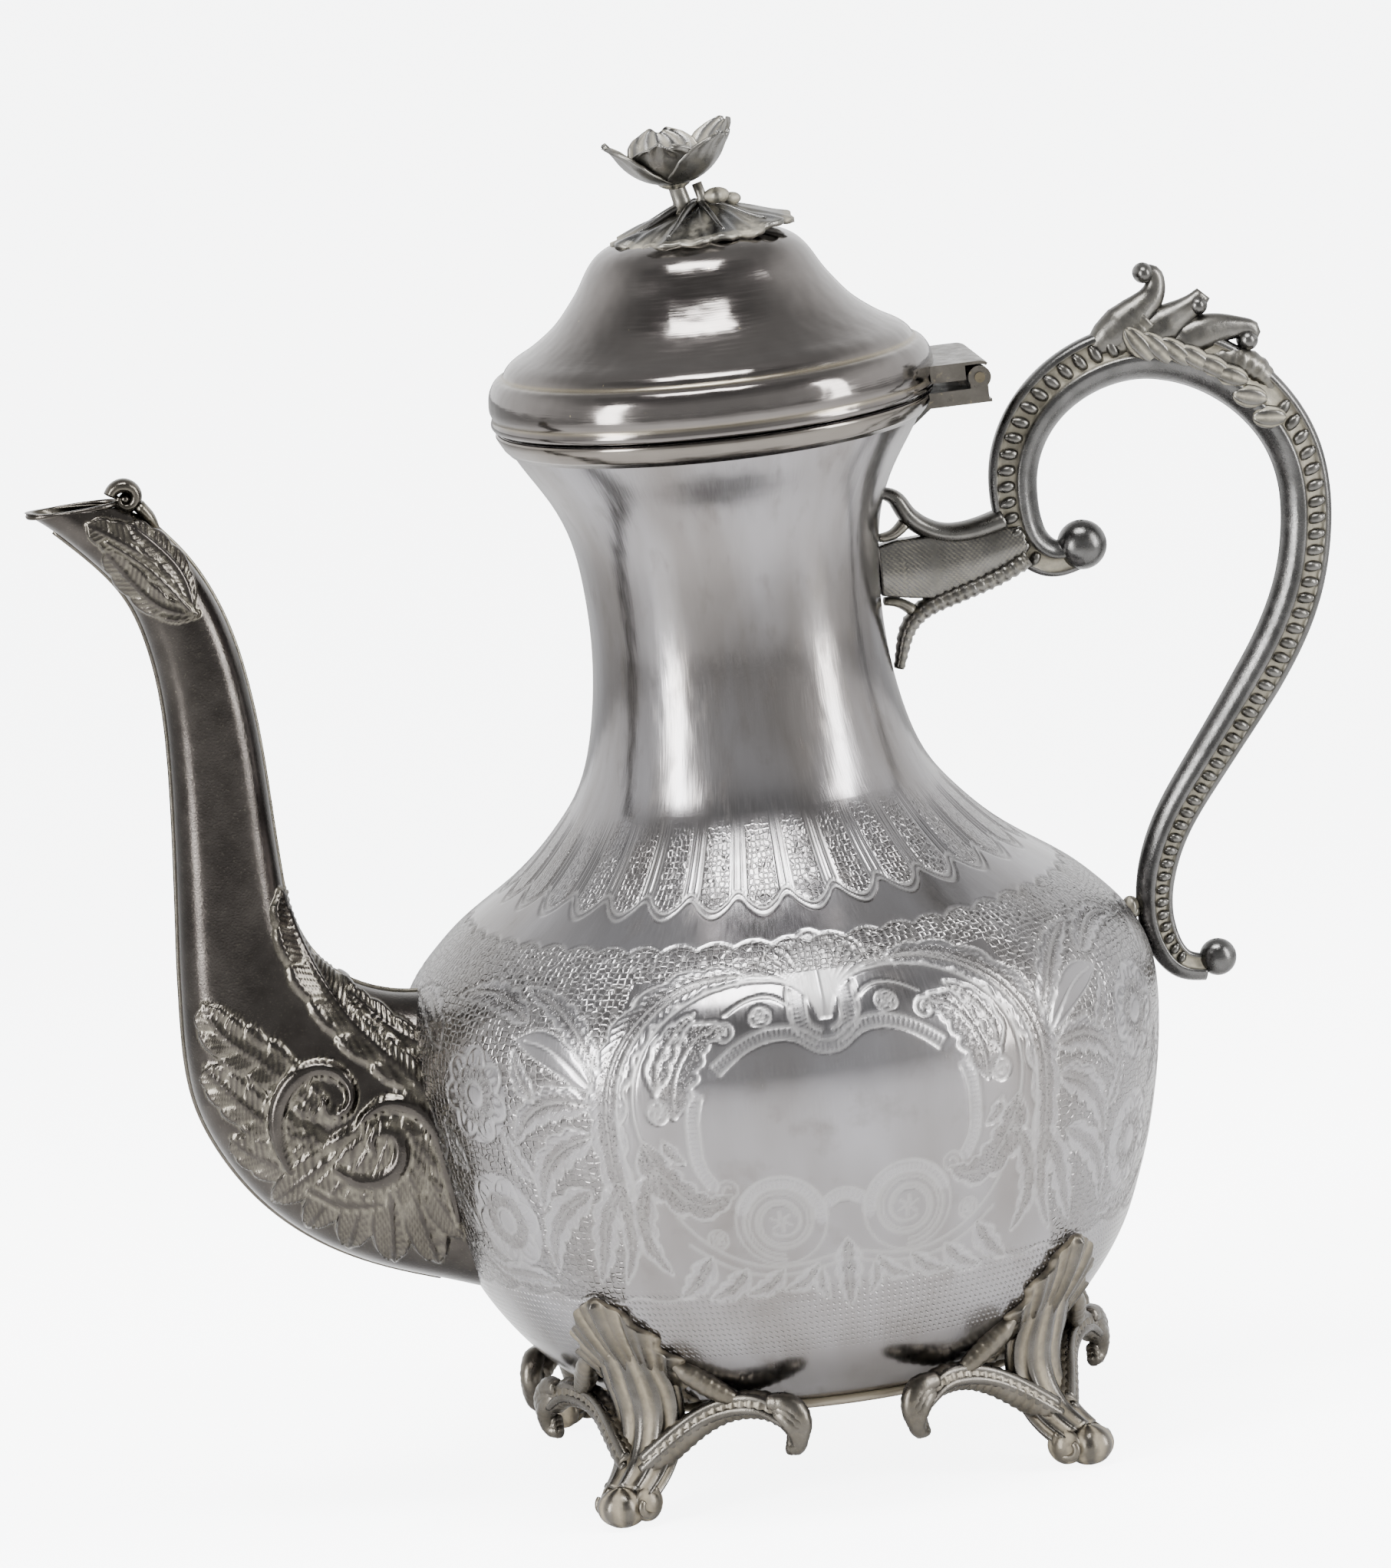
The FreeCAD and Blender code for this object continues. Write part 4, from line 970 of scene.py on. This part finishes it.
def handle_frame(step):
    """The handle's centre line, its outward direction in the centre plane and its half depth."""
    line = spline(HANDLE, step=step)
    along = unit(np.gradient(line, axis=0))
    out = np.stack([-along[:, 1], along[:, 0]], axis=1)
    return line, out, keyed(np.linspace(0, 1, len(line)), HANDLE_HALF)


def handle():
    """A channelled strap, beaded along both flanks."""
    line, out, half = handle_frame(0.6)
    narrow, bead_step = 0.82, 3.25
    s = np.asarray(HANDLE_SECTION)
    loop = np.concatenate([s, (s * (1, -1))[-2:0:-1]])
    dirt = np.concatenate([SECTION_DIRT, SECTION_DIRT[-2:0:-1]])
    half_y = narrow * half
    rings = np.stack([line[:, None, 0] + half[:, None] * loop[:, 0] * out[:, None, 0],
                      half_y[:, None] * loop[:, 1],
                      line[:, None, 1] + half[:, None] * loop[:, 0] * out[:, None, 1]], axis=-1)
    solid = Solid()
    solid.tube(rings, np.broadcast_to(dirt, rings.shape[:2]))
    # beads lying across the channel, both sides
    run = lengths(line)
    at = 8.0
    while at < run[-1] - 6:
        x, z = np.interp(at, run, line[:, 0]), np.interp(at, run, line[:, 1])
        o = np.array([np.interp(at, run, out[:, 0]), np.interp(at, run, out[:, 1])])
        h = np.interp(at, run, half)
        a = np.array([-o[1], o[0]])
        pitch = bead_step * (0.45 + 0.55 * h / 5.6)
        under_leaves = 84 < x < 106 and z > 184
        if not under_leaves:
            u = np.array([o[0] * 0.97 + a[0] * 0.22, 0, o[1] * 0.97 + a[1] * 0.22])
            u /= np.linalg.norm(u)
            v = np.cross(u, (0, 1, 0))
            for side in (-1, 1):
                centre = np.array([x + o[0] * h * 0.31, side * h * narrow * 0.47, z + o[1] * h * 0.31])
                solid.blob(centre, (pitch * 0.39, 1.5, h * 0.40), rows=7, cols=12,
                           tilt=(v, (0, 1, 0), u), dirt=0.12)
        at += pitch
    piece("handle_strap", solid, "pot", HANDLE_METAL, ["handle_scroll"])


def scroll_rod(solid, points, radii, flat=1.0, eye=0.0, eye_y=1.0, **more):
    line = upright(spline(points, step=0.6))
    solid.rod(line, radii, flat=flat, around=16, **more)
    if eye:
        solid.blob(line[-1], (eye, eye * eye_y, eye), dirt=0.05)


def crest():
    """Leaf scrolls that stand on the handle's top, over a row of leaf tips down each flank."""
    solid = Solid()
    scroll_rod(solid, [(73.5, 204.6), (77.6, 207.6), (81.6, 210.2), (84.6, 212.6), (86.6, 215.4),
                       (86.4, 218.2), (84.6, 218.6)],
               [2.2, 3.6, 4.2, 3.7, 2.7, 1.9, 1.5], 0.95, eye=2.0, eye_y=1.5, dirt=0.15)
    scroll_rod(solid, [(78.0, 205.0), (81.2, 207.4), (84.4, 210.0)], [2.6, 3.6, 3.2], 1.15, dirt=0.2,
               ribs=0.05, pitch=1.9)
    scroll_rod(solid, [(82.0, 204.6), (86.6, 207.4), (90.6, 209.6), (93.8, 211.6), (95.6, 212.9),
                       (94.4, 211.2)],
               [2.8, 4.2, 4.0, 2.9, 1.9, 1.4], 0.95, eye=2.0, eye_y=1.5, dirt=0.15)
    scroll_rod(solid, [(88.0, 203.0), (93.0, 205.2), (97.6, 206.2), (101.6, 206.0), (104.6, 205.0),
                       (103.4, 203.4)],
               [3.0, 4.0, 3.6, 2.7, 1.9, 1.4], 0.95, eye=2.1, eye_y=1.5, dirt=0.15)
    scroll_rod(solid, [(96.0, 200.4), (100.6, 199.6), (104.8, 197.0), (107.6, 192.6)], [2.4, 3.2, 2.8, 1.4],
               1.05, dirt=0.2, ribs=0.05, pitch=1.9)
    for side in (-1, 1):
        # overlapping leaf tips down each flank
        for k in range(8):
            share = k / 7
            x, z = (np.interp(share, [0, 0.35, 0.7, 1], keys)
                    for keys in ([82, 90.5, 98.6, 105.6], [205.4, 202.6, 197.8, 188.6]))
            lean = math.radians(np.interp(share, [0, 1], [62, -8]))
            u = np.array([math.cos(lean) * 0.5 + 0.5, 0, -math.sin(lean) * 0.9 - 0.25])
            u /= np.linalg.norm(u)
            v = np.cross(u, (0, 1, 0))
            solid.blob((x, side * 3.8, z), (2.3, 1.25, 4.3 - 1.0 * share), rows=14, cols=28,
                       tilt=(v, (0, 1, 0), u), dirt=0.12, lobes=6, depth=0.14)
    piece("handle_cresting", solid, "pot", HANDLE_METAL, ["handle_crest"])


def handle_ends():
    """The balls that end the handle's two scrolls, each with a scribed ring on either side."""
    for name, node_name, (x, z), r in (("handle_eye_upper", "handle_upper_ball", (67.7, 168.1), 4.8),
                                       ("handle_eye_lower", "handle_lower_ball", (86.0, 85.1), 3.6)):
        solid = Solid()
        solid.blob((x, 0, z), (r, r, r), rows=26, cols=40)
        for side in (-1, 1):
            a = np.linspace(0, 2 * PI, 50)
            loop = np.stack([x + r * 0.62 * np.cos(a), np.full(50, side * r * 0.70),
                             z + r * 0.62 * np.sin(a)], axis=1)
            solid.rod(loop[:-2], [0.22], around=6, dirt=0.5)
        piece(name, solid, "pot", HANDLE_METAL, [node_name])


def bracket():
    """The socket that carries the handle's upper end: two rails with a stippled web between."""
    solid = Solid()
    scroll_rod(solid, [(29.6, 183.0), (32.6, 181.6), (34.4, 178.6), (37.6, 175.4), (42.0, 173.6),
                       (47.0, 173.6), (53.0, 175.0)], [1.1, 1.7, 1.9, 1.9, 2.0, 2.1, 2.2], 1.8, dirt=0.12)
    scroll_rod(solid, [(56.6, 167.2), (52.4, 165.0), (46.6, 163.0), (40.4, 161.2), (35.6, 159.2),
                       (32.6, 156.0), (31.2, 152.2), (30.2, 148.8)], [2.2, 2.0, 2.0, 2.0, 1.9, 1.7, 1.4, 1.0],
               1.8, dirt=0.15, ribs=0.10, pitch=1.7)
    # stippled web between the rails
    rows, cols = 60, 34
    x = np.linspace(28.2, 56.5, rows)
    top = np.interp(x, [28, 32, 38, 46, 57], [172.6, 173.4, 173.6, 172.8, 173.6])
    low = np.interp(x, [28, 32, 38, 46, 57], [163.4, 162.6, 161.6, 163.6, 167.6])
    v = np.linspace(0, 1, cols)
    z = low[:, None] + (top - low)[:, None] * v
    bulge = 2.2 + 1.2 * np.sin(PI * v)[None] * np.ones((rows, 1))
    bulge = bulge + 0.16 * np.cos(2 * PI * x / 1.0)[:, None] * np.cos(2 * PI * z / 1.0)
    xs = np.broadcast_to(x[:, None], z.shape)
    front, rear = np.stack([xs, -bulge, z], axis=-1), np.stack([xs, bulge, z], axis=-1)
    solid.shell(front, rear, np.clip(0.16 - 0.45 * np.cos(2 * PI * xs) * np.cos(2 * PI * z), 0, 1))
    # the palm of the trumpet against the neck
    scroll_rod(solid, [(28.9, 174.2), (31.6, 174.6), (34.0, 176.4)], [0.8, 1.0, 1.2], 2.4, dirt=0.5)
    scroll_rod(solid, [(28.7, 162.0), (31.4, 161.4), (33.8, 159.8)], [0.8, 1.0, 1.2], 2.4, dirt=0.5)
    piece("handle_socket", solid, "pot", HANDLE_METAL, ["handle_bracket"])


def handle_solder():
    """A lump of solder in the place of the lug under the handle's lower scroll."""
    low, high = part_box("handle_lower_lug")
    centre = (np.asarray(low) + high) / 2 / MM - (AXIS_X, 0, 0)
    reach = (np.asarray(high) - low) / 2 / MM
    solid = Solid()
    solid.blob(centre, reach * (0.98, 0.98, 0.98), rows=16, cols=28, dirt=0.35, lobes=5, depth=0.10)
    for side in (-1, 1):
        solid.blob(centre + (0, side * 0.35 * reach[1], -0.3 * reach[2]), reach * (0.9, 0.55, 0.6),
                   rows=10, cols=20, dirt=0.5)
    piece("handle_solder", solid, "pot", HANDLE_METAL, ["handle_lower_lug"])


handle()
crest()
handle_ends()
handle_solder()
bracket()


# The feet

def foot_piece(turn, index):
    """One cast foot, drawn on the +X side and turned into place."""
    solid = Solid()
    # the leaf against the vessel's wall: five fluted lobes that fan from the ankle
    rows, cols = 110, 81
    z = np.linspace(20.6, 44.9, rows)
    share = (z - z[0]) / (z[-1] - z[0])
    u = np.linspace(-1, 1, cols)
    wide = np.interp(share, [0, 0.12, 0.30, 0.46, 0.60, 0.74, 0.88, 1.0], [7.2, 8.4, 12.6, 12.8, 11.4, 9.2,
                                                                           5.8, 1.0])
    wide = wide * (0.90 + 0.10 * np.cos(2 * PI * share * 4.5))
    y = wide[:, None] * u
    radius = np.interp(z, LINE[:, 1], LINE[:, 0])[:, None]
    fan = np.arctan2(y, (z[:, None] - 14.0) + 0 * y)
    flute = 0.5 + 0.3 * np.cos(fan * 24) + 0.2 * np.cos(fan * 60)
    edge = np.clip((1 - np.abs(u)) * 9, 0, 1)[None] * np.clip((1 - share) * 14, 0, 1)[:, None]
    thick = 0.35 + 2.0 * np.sqrt(edge) * (0.45 + 0.55 * flute) + 0.6 * np.exp(-(y / 1.1) ** 2) * np.sqrt(edge)
    front_r, back_r = radius + thick, radius - 0.25 + 0 * thick

    def bent(r):
        return polar(r, y / radius, z[:, None])

    soil = np.clip(0.85 * (1 - flute) ** 1.5 + 0.4 * (edge < 0.5), 0, 1)
    solid.shell(bent(front_r), bent(back_r), soil)

    def arc(points):
        """Places given as (radius, degrees, height)."""
        p = spline(points, step=0.6)
        return polar(p[:, 0], np.radians(p[:, 1]), p[:, 2])

    # the leg: a bundle of ridges that runs down to the toe
    leg = arc([(58.0, 0, 33.0), (53.6, 0, 25.4), (52.2, 0, 18.8), (53.8, 0, 12.8), (57.4, 0, 8.2),
               (61.4, 0, 5.4)])
    n = len(leg)
    across = np.cross(unit(np.gradient(leg, axis=0)), (0, 1, 0))
    a = np.linspace(0, 2 * PI, 56, endpoint=False)
    s = np.linspace(0, 1, n)
    thick = keyed(s, [1.6, 3.0, 3.5, 3.6, 3.2])
    broad = keyed(s, [7.0, 8.0, 7.2, 6.2, 5.4])
    ridge = 1 + 0.09 * np.cos(10 * a)[None] + 0 * s[:, None]
    front = thick[:, None, None] * np.cos(a)[None, :, None] * across[:, None]
    sideways = broad[:, None, None] * np.sin(a)[None, :, None] * np.array([0, 1, 0])
    rings = leg[:, None] + ridge[..., None] * (front + sideways)
    solid.tube(rings, np.clip(0.25 - 0.65 * np.cos(10 * a), 0, 1)[None] * np.ones((n, 1)))
    # the toe: three leaf lobes over a pad, scrolled at the sides
    solid.blob((63.4, 0, 3.9), (4.8, 4.9, 3.9), rows=20, cols=40, dirt=0.1, lobes=7, depth=0.06)
    for side in (-1, 1):
        solid.blob((60.6, side * 3.9, 4.2), (4.0, 2.5, 3.4), rows=16, cols=26, dirt=0.25, lobes=4, depth=0.10)
        t = np.linspace(0, 1.5 * PI, 30)
        rr = np.linspace(3.5, 1.2, 30)
        curl = np.stack([62.6 + rr * np.cos(t + 2.2), np.full(30, side * 5.2),
                         4.6 + 0.9 * rr * np.sin(t + 2.2)], axis=1)
        solid.rod(curl, [1.0, 0.7], around=10, dirt=0.35)
        arm = arc([(56.6, side * 2.0, 10.5), (53.8, side * 8.0, 15.4), (51.8, side * 14.5, 19.2),
                   (51.6, side * 21.5, 21.0), (52.6, side * 27.5, 20.6), (53.6, side * 31.5, 18.4)])
        solid.rod(arm, [3.0, 3.0, 2.8, 2.7, 2.8, 2.4], side=(1, 0, 0.3), around=20, dirt=0.22,
                  ribs=0.05, pitch=1.9)
        for lift, push in ((1.5, 1.6), (-0.6, 2.2)):
            solid.rod(arm + np.array([push, 0, lift]), [1.3, 1.2, 1.0, 1.0, 0.8], around=10, dirt=0.05)
        # curled leaf at the arm's end
        for spread, drop in ((-1.0, 1.6), (0.0, 0.6), (1.0, -0.4)):
            tip = arc([(53.2 + spread * 0.9, side * 27.5, 21.0 + 0.8 * spread),
                       (54.4, side * (31.6 + 0.6 * spread), 19.8 + spread),
                       (55.0, side * (33.6 + 0.5 * spread), 17.0 - drop),
                       (54.4, side * (33.0 + 0.3 * spread), 14.6 - drop),
                       (53.4, side * (31.0 + 0.2 * spread), 14.2 - drop)])
            solid.rod(tip, [1.6, 2.3, 2.2, 1.7, 1.3], around=14, dirt=0.12, ribs=0.03, pitch=1.4)
        # strut beside the pierced hole
        strut = arc([(57.4, side * 9.5, 31.5), (55.4, side * 13.0, 28.0), (53.4, side * 17.5, 24.2),
                     (52.2, side * 22.0, 21.6)])
        solid.rod(strut, [0.7, 2.2, 2.3, 1.9, 1.0], around=14, dirt=0.25, ribs=0.04, pitch=1.7)
    rot = np.array([[math.cos(turn), math.sin(turn), 0], [-math.sin(turn), math.cos(turn), 0], [0, 0, 1]])
    solid.verts = [np.maximum(v, (-1e9, -1e9, 0.0)) @ rot for v in solid.verts]
    piece(f"foot_casting_{index}", solid, "pot", FOOT_METAL, [f"foot_{index}"])


for number in range(4):
    foot_piece(PI / 4 + PI / 2 * number, number + 1)


# The finial

def finial():
    """A ruffled round leaf, a short double stem with buds, and a five-petalled flower."""
    leaf = Solid()
    rows, cols = 44, 160
    a = np.linspace(0, 2 * PI, cols, endpoint=False)
    edge = 15.7 + 0.9 * np.cos(2 * a + 0.2) + 1.1 * np.abs(np.sin(8 * a)) + 0.4 * np.sin(3 * a + 1)
    s = np.linspace(0.02, 1, rows)
    radius = s[:, None] * edge[None]
    x, y = radius * np.cos(a) + 1.2, radius * np.sin(a) * 0.93
    fold = 0.13 * np.cos(26 * a)[None] * s[:, None] + 0.30 * s[:, None] * np.cos(8 * a + 5 * s[:, None]) \
        + 0.22 * np.cos(5 * a + 9 * s[:, None])
    bump = 4.4 * np.exp(-((s / 0.62) ** 2.4))[:, None] * (0.85 + 0.15 * np.cos(a)[None])
    z = 238.2 + bump + fold - 1.1 * s[:, None] ** 5 + 0.9 * np.cos(a - 0.3)[None] * s[:, None] ** 2
    under = z - 1.0 - 1.2 * (1 - s[:, None])
    top, low = np.stack([x, y, z], axis=-1), np.stack([x, y, under], axis=-1)
    loop = np.concatenate([top, low[::-1]])
    quads = grid(2 * rows, cols, wrap_cols=True)
    soil = np.clip(0.25 - 0.9 * fold + 0.3 * (s[:, None] > 0.93), 0, 1)
    j = np.arange(cols)
    k = 2 * rows * cols
    ends = np.array([[1.2, 0, 242.0], [1.2, 0, 239.7]])
    tris = np.concatenate([np.stack([np.full(cols, k), (j + 1) % cols, j], axis=1),
                           np.stack([np.full(cols, k + 1), (2 * rows - 1) * cols + j,
                                     (2 * rows - 1) * cols + (j + 1) % cols],
                                    axis=1)])
    leaf.add(np.concatenate([loop.reshape(-1, 3), ends]), quads, tris,
             dirt=np.concatenate([soil.reshape(-1), np.full(rows * cols + 2, 0.4)]))
    for t in np.linspace(0, 2 * PI, 8, endpoint=False) + 0.2:
        h = np.linspace(1.5, 14.0, 20)
        lift = 237.95 + 4.4 * np.exp(-((h / 16 / 0.62) ** 2.4)) + 0.9 * math.cos(t - 0.3) * (h / 16) ** 2
        leaf.rod(np.stack([h * math.cos(t) + 1.2, h * math.sin(t) * 0.93, lift], axis=1),
                 [0.8, 0.6, 0.3], around=8, dirt=0.1, side=(-math.sin(t), math.cos(t), 0.01))
    piece("finial_leaf_curled", leaf, "lid", FLOWER_METAL, ["finial_leaf"])
    stem = Solid()
    stem.rod([(-1.6, 0, 240.6), (-1.9, 0, 243.2), (-2.5, 0, 245.6), (-2.8, 0, 247.2)],
             [2.3, 1.7, 1.6, 1.9], around=16, dirt=0.3)
    stem.rod([(1.4, -1.0, 241.0), (1.9, -1.2, 243.4), (1.2, -0.8, 246.2)], [1.3, 1.0, 1.0],
             around=12, dirt=0.45)
    stem.blob((4.6, -1.6, 243.4), (2.6, 2.0, 1.7), dirt=0.5, lobes=4, depth=0.2)
    stem.blob((7.4, -0.6, 242.4), (2.0, 1.7, 1.3), dirt=0.4, lobes=3, depth=0.2)
    piece("finial_stem_bud", stem, "lid", FLOWER_METAL, ["finial_stem"])
    bloom = Solid()
    rows, cols = 34, 29
    for k, (turn, reach, rise, wide) in enumerate(((182, 11.8, 8.4, 7.8), (254, 10.4, 8.4, 8.0),
                                                   (322, 11.0, 9.4, 8.0),
                                                   (18, 11.4, 10.4, 7.4), (96, 10.4, 8.8, 8.0))):
        t = np.linspace(0, 1, rows)[:, None]
        u = np.linspace(-1, 1, cols)[None]
        half = wide * np.interp(t, [0, 0.2, 0.45, 0.7, 0.86, 0.95, 1.0], [0.30, 0.66, 0.94, 1.0, 0.84, 0.58,
                                                                          0.26])
        lip = np.clip((t - 0.8) / 0.2, 0, 1)
        out = 1.0 + (reach - 1.0) * np.sin(t * 1.30) / math.sin(1.30) + 0.9 * lip ** 2 - 0.25 * (k % 2)
        up = 0.5 + rise * (1 - np.cos(t * 1.35)) / (1 - math.cos(1.35)) + 0.5 * np.cos(4 * u + k) * t ** 3
        ribs = 0.13 * np.cos(u * 17) * t

        def sheet_of(lift):
            swing = half * u / np.maximum(out, 3.0) * 1.05 + math.radians(turn)
            r = out - lift * t + ribs * t
            return polar(r, swing, up + lift * (1 - 0.6 * t) + 246.2) - (2.9, 0, 0)

        bloom.shell(sheet_of(0.35), sheet_of(-0.35),
                    np.clip(0.28 - 0.3 * np.cos(u * 17) + 0.4 * (1 - t), 0, 1) + 0 * t)
    bloom.blob((-2.9, 0, 247.2), (3.4, 3.4, 1.9), rows=12, cols=24, dirt=0.4, lobes=10, depth=0.12)
    piece("finial_bloom", bloom, "lid", FLOWER_METAL, ["finial_flower"])


finial()


# Carried-over CAD nodes take a worked metal each

for cad_name, metal in (("hinge_bracket", HINGE_METAL), ("hinge_leaf", HINGE_METAL),
                        ("hinge_cover", HINGE_METAL),
                        ("hinge_pin", FASTENER), ("hinge_brace", SOLDER),
                        ("finial_stud", FASTENER), ("finial_washer", FASTENER), ("finial_nut", FASTENER)):
    for cad_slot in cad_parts[cad_name].material_slots:
        cad_slot.material = metal


# Floor, light and camera

def floor():
    """A pale table, glowing for the camera only, and dimmer away from the pot where the metal mirrors it."""
    mesh = bpy.data.meshes.new("floor")
    size, near, far, glow = 6.0, 0.20, 0.75, 6.2
    mesh.from_pydata([(-size, -size, 0), (size, -size, 0), (size, size, 0), (-size, size, 0)], [],
                     [(0, 1, 2, 3)])
    material = bpy.data.materials.new("floor_white")
    material.use_nodes = True
    tree = material.node_tree
    bsdf = tree.nodes["Principled BSDF"]
    reach = node(tree, "ShaderNodeVectorMath", operation="LENGTH")
    tree.links.new(node(tree, "ShaderNodeTexCoord").outputs["Object"], reach.inputs[0])
    level = map_range(tree, reach.outputs["Value"], (near, far, 0.93, 0.50), interpolation_type="SMOOTHSTEP")
    tree.links.new(level, bsdf.inputs["Base Color"])
    seen = node(tree, "ShaderNodeLightPath").outputs["Is Camera Ray"]
    tree.links.new(maths(tree, "MULTIPLY", seen, glow), bsdf.inputs["Emission Strength"])
    bsdf.inputs["Emission Color"].default_value = (0.975, 0.99, 1.0, 1)
    bsdf.inputs["Roughness"].default_value = 0.55
    bsdf.inputs["Specular IOR Level"].default_value = 0.2
    mesh.materials.append(material)
    obj = bpy.data.objects.new("floor", mesh)
    bpy.context.collection.objects.link(obj)


def studio():
    """A pale room, dimmer in front and overhead, with tall soft boxes either side and one above."""
    world = bpy.data.worlds.new("studio")
    bpy.context.scene.world = world
    world.use_nodes = True
    tree = world.node_tree
    background = tree.nodes["Background"]
    direction = tree.nodes.new("ShaderNodeTexCoord").outputs["Generated"]
    flat = node(tree, "ShaderNodeVectorMath", operation="MULTIPLY")
    flat.inputs[1].default_value = (1, 1, 0)
    level = node(tree, "ShaderNodeVectorMath", operation="NORMALIZE")
    dot = node(tree, "ShaderNodeVectorMath", operation="DOT_PRODUCT")
    dot.inputs[1].default_value = (-0.25, -0.97, 0.0)
    tree.links.new(direction, flat.inputs[0])
    tree.links.new(flat.outputs[0], level.inputs[0])
    tree.links.new(level.outputs[0], dot.inputs[0])

    def shade(value, *ends):
        return map_range(tree, value, ends, interpolation_type="SMOOTHSTEP")

    split = tree.nodes.new("ShaderNodeSeparateXYZ")
    tree.links.new(direction, split.inputs[0])
    facing = dot.outputs["Value"]
    front = maths(tree, "MULTIPLY", shade(facing, -0.35, 0.45, 1.0, 0.55),
                  shade(facing, 0.60, 0.95, 1.0, 0.75))
    both = maths(tree, "MULTIPLY", front, shade(split.outputs[2], 0.35, 0.85, 1.0, 0.34))
    tree.links.new(both, background.inputs["Color"])
    background.inputs["Strength"].default_value = 2.1
    for name, place_m, wide, tall, power in (("soft_left", (-1.45, -0.80, 0.55), 0.40, 1.5, 56),
                                             ("soft_right", (1.35, -0.75, 0.55), 0.34, 1.5, 40),
                                             ("soft_top", (-0.1, -0.35, 1.8), 0.9, 0.45, 42)):
        light = bpy.data.lights.new(name, "AREA")
        light.shape, light.size, light.size_y, light.energy = "RECTANGLE", wide, tall, power
        obj = bpy.data.objects.new(name, light)
        obj.location = place_m
        aim = Matrix.Translation((0, 0, 0.13)).translation - obj.location
        obj.rotation_euler = aim.to_track_quat("-Z", "Y").to_euler()
        bpy.context.collection.objects.link(obj)


def camera():
    """Long lens a little above the lid, turned a few degrees towards the spout and rolled."""
    reach, height, turn, roll = 2.2071, 0.5217, math.radians(7.156), math.radians(6.119)
    eye = np.array([-reach * math.sin(turn), -reach * math.cos(turn), height])
    target = np.array([math.cos(turn), -math.sin(turn), 0.0]) * -0.0110 + (0, 0, 0.1313)
    forward = (target - eye) / np.linalg.norm(target - eye)
    right = np.cross(forward, (0, 0, 1))
    right /= np.linalg.norm(right)
    up = np.cross(right, forward)
    right, up = math.cos(roll) * right - math.sin(roll) * up, math.sin(roll) * right + math.cos(roll) * up
    data = bpy.data.cameras.new("camera")
    data.lens, data.sensor_width, data.clip_end = 269.63, 36.0, 50.0
    obj = bpy.data.objects.new("camera", data)
    eye = eye + (AXIS_X * MM, 0, 0)
    obj.matrix_world = Matrix([(*(float(v[i]) for v in (right, up, -forward)), float(eye[i]))
                               for i in range(3)]
                              + [(0, 0, 0, 1)])
    bpy.context.collection.objects.link(obj)
    bpy.context.scene.camera = obj


floor()
studio()
camera()
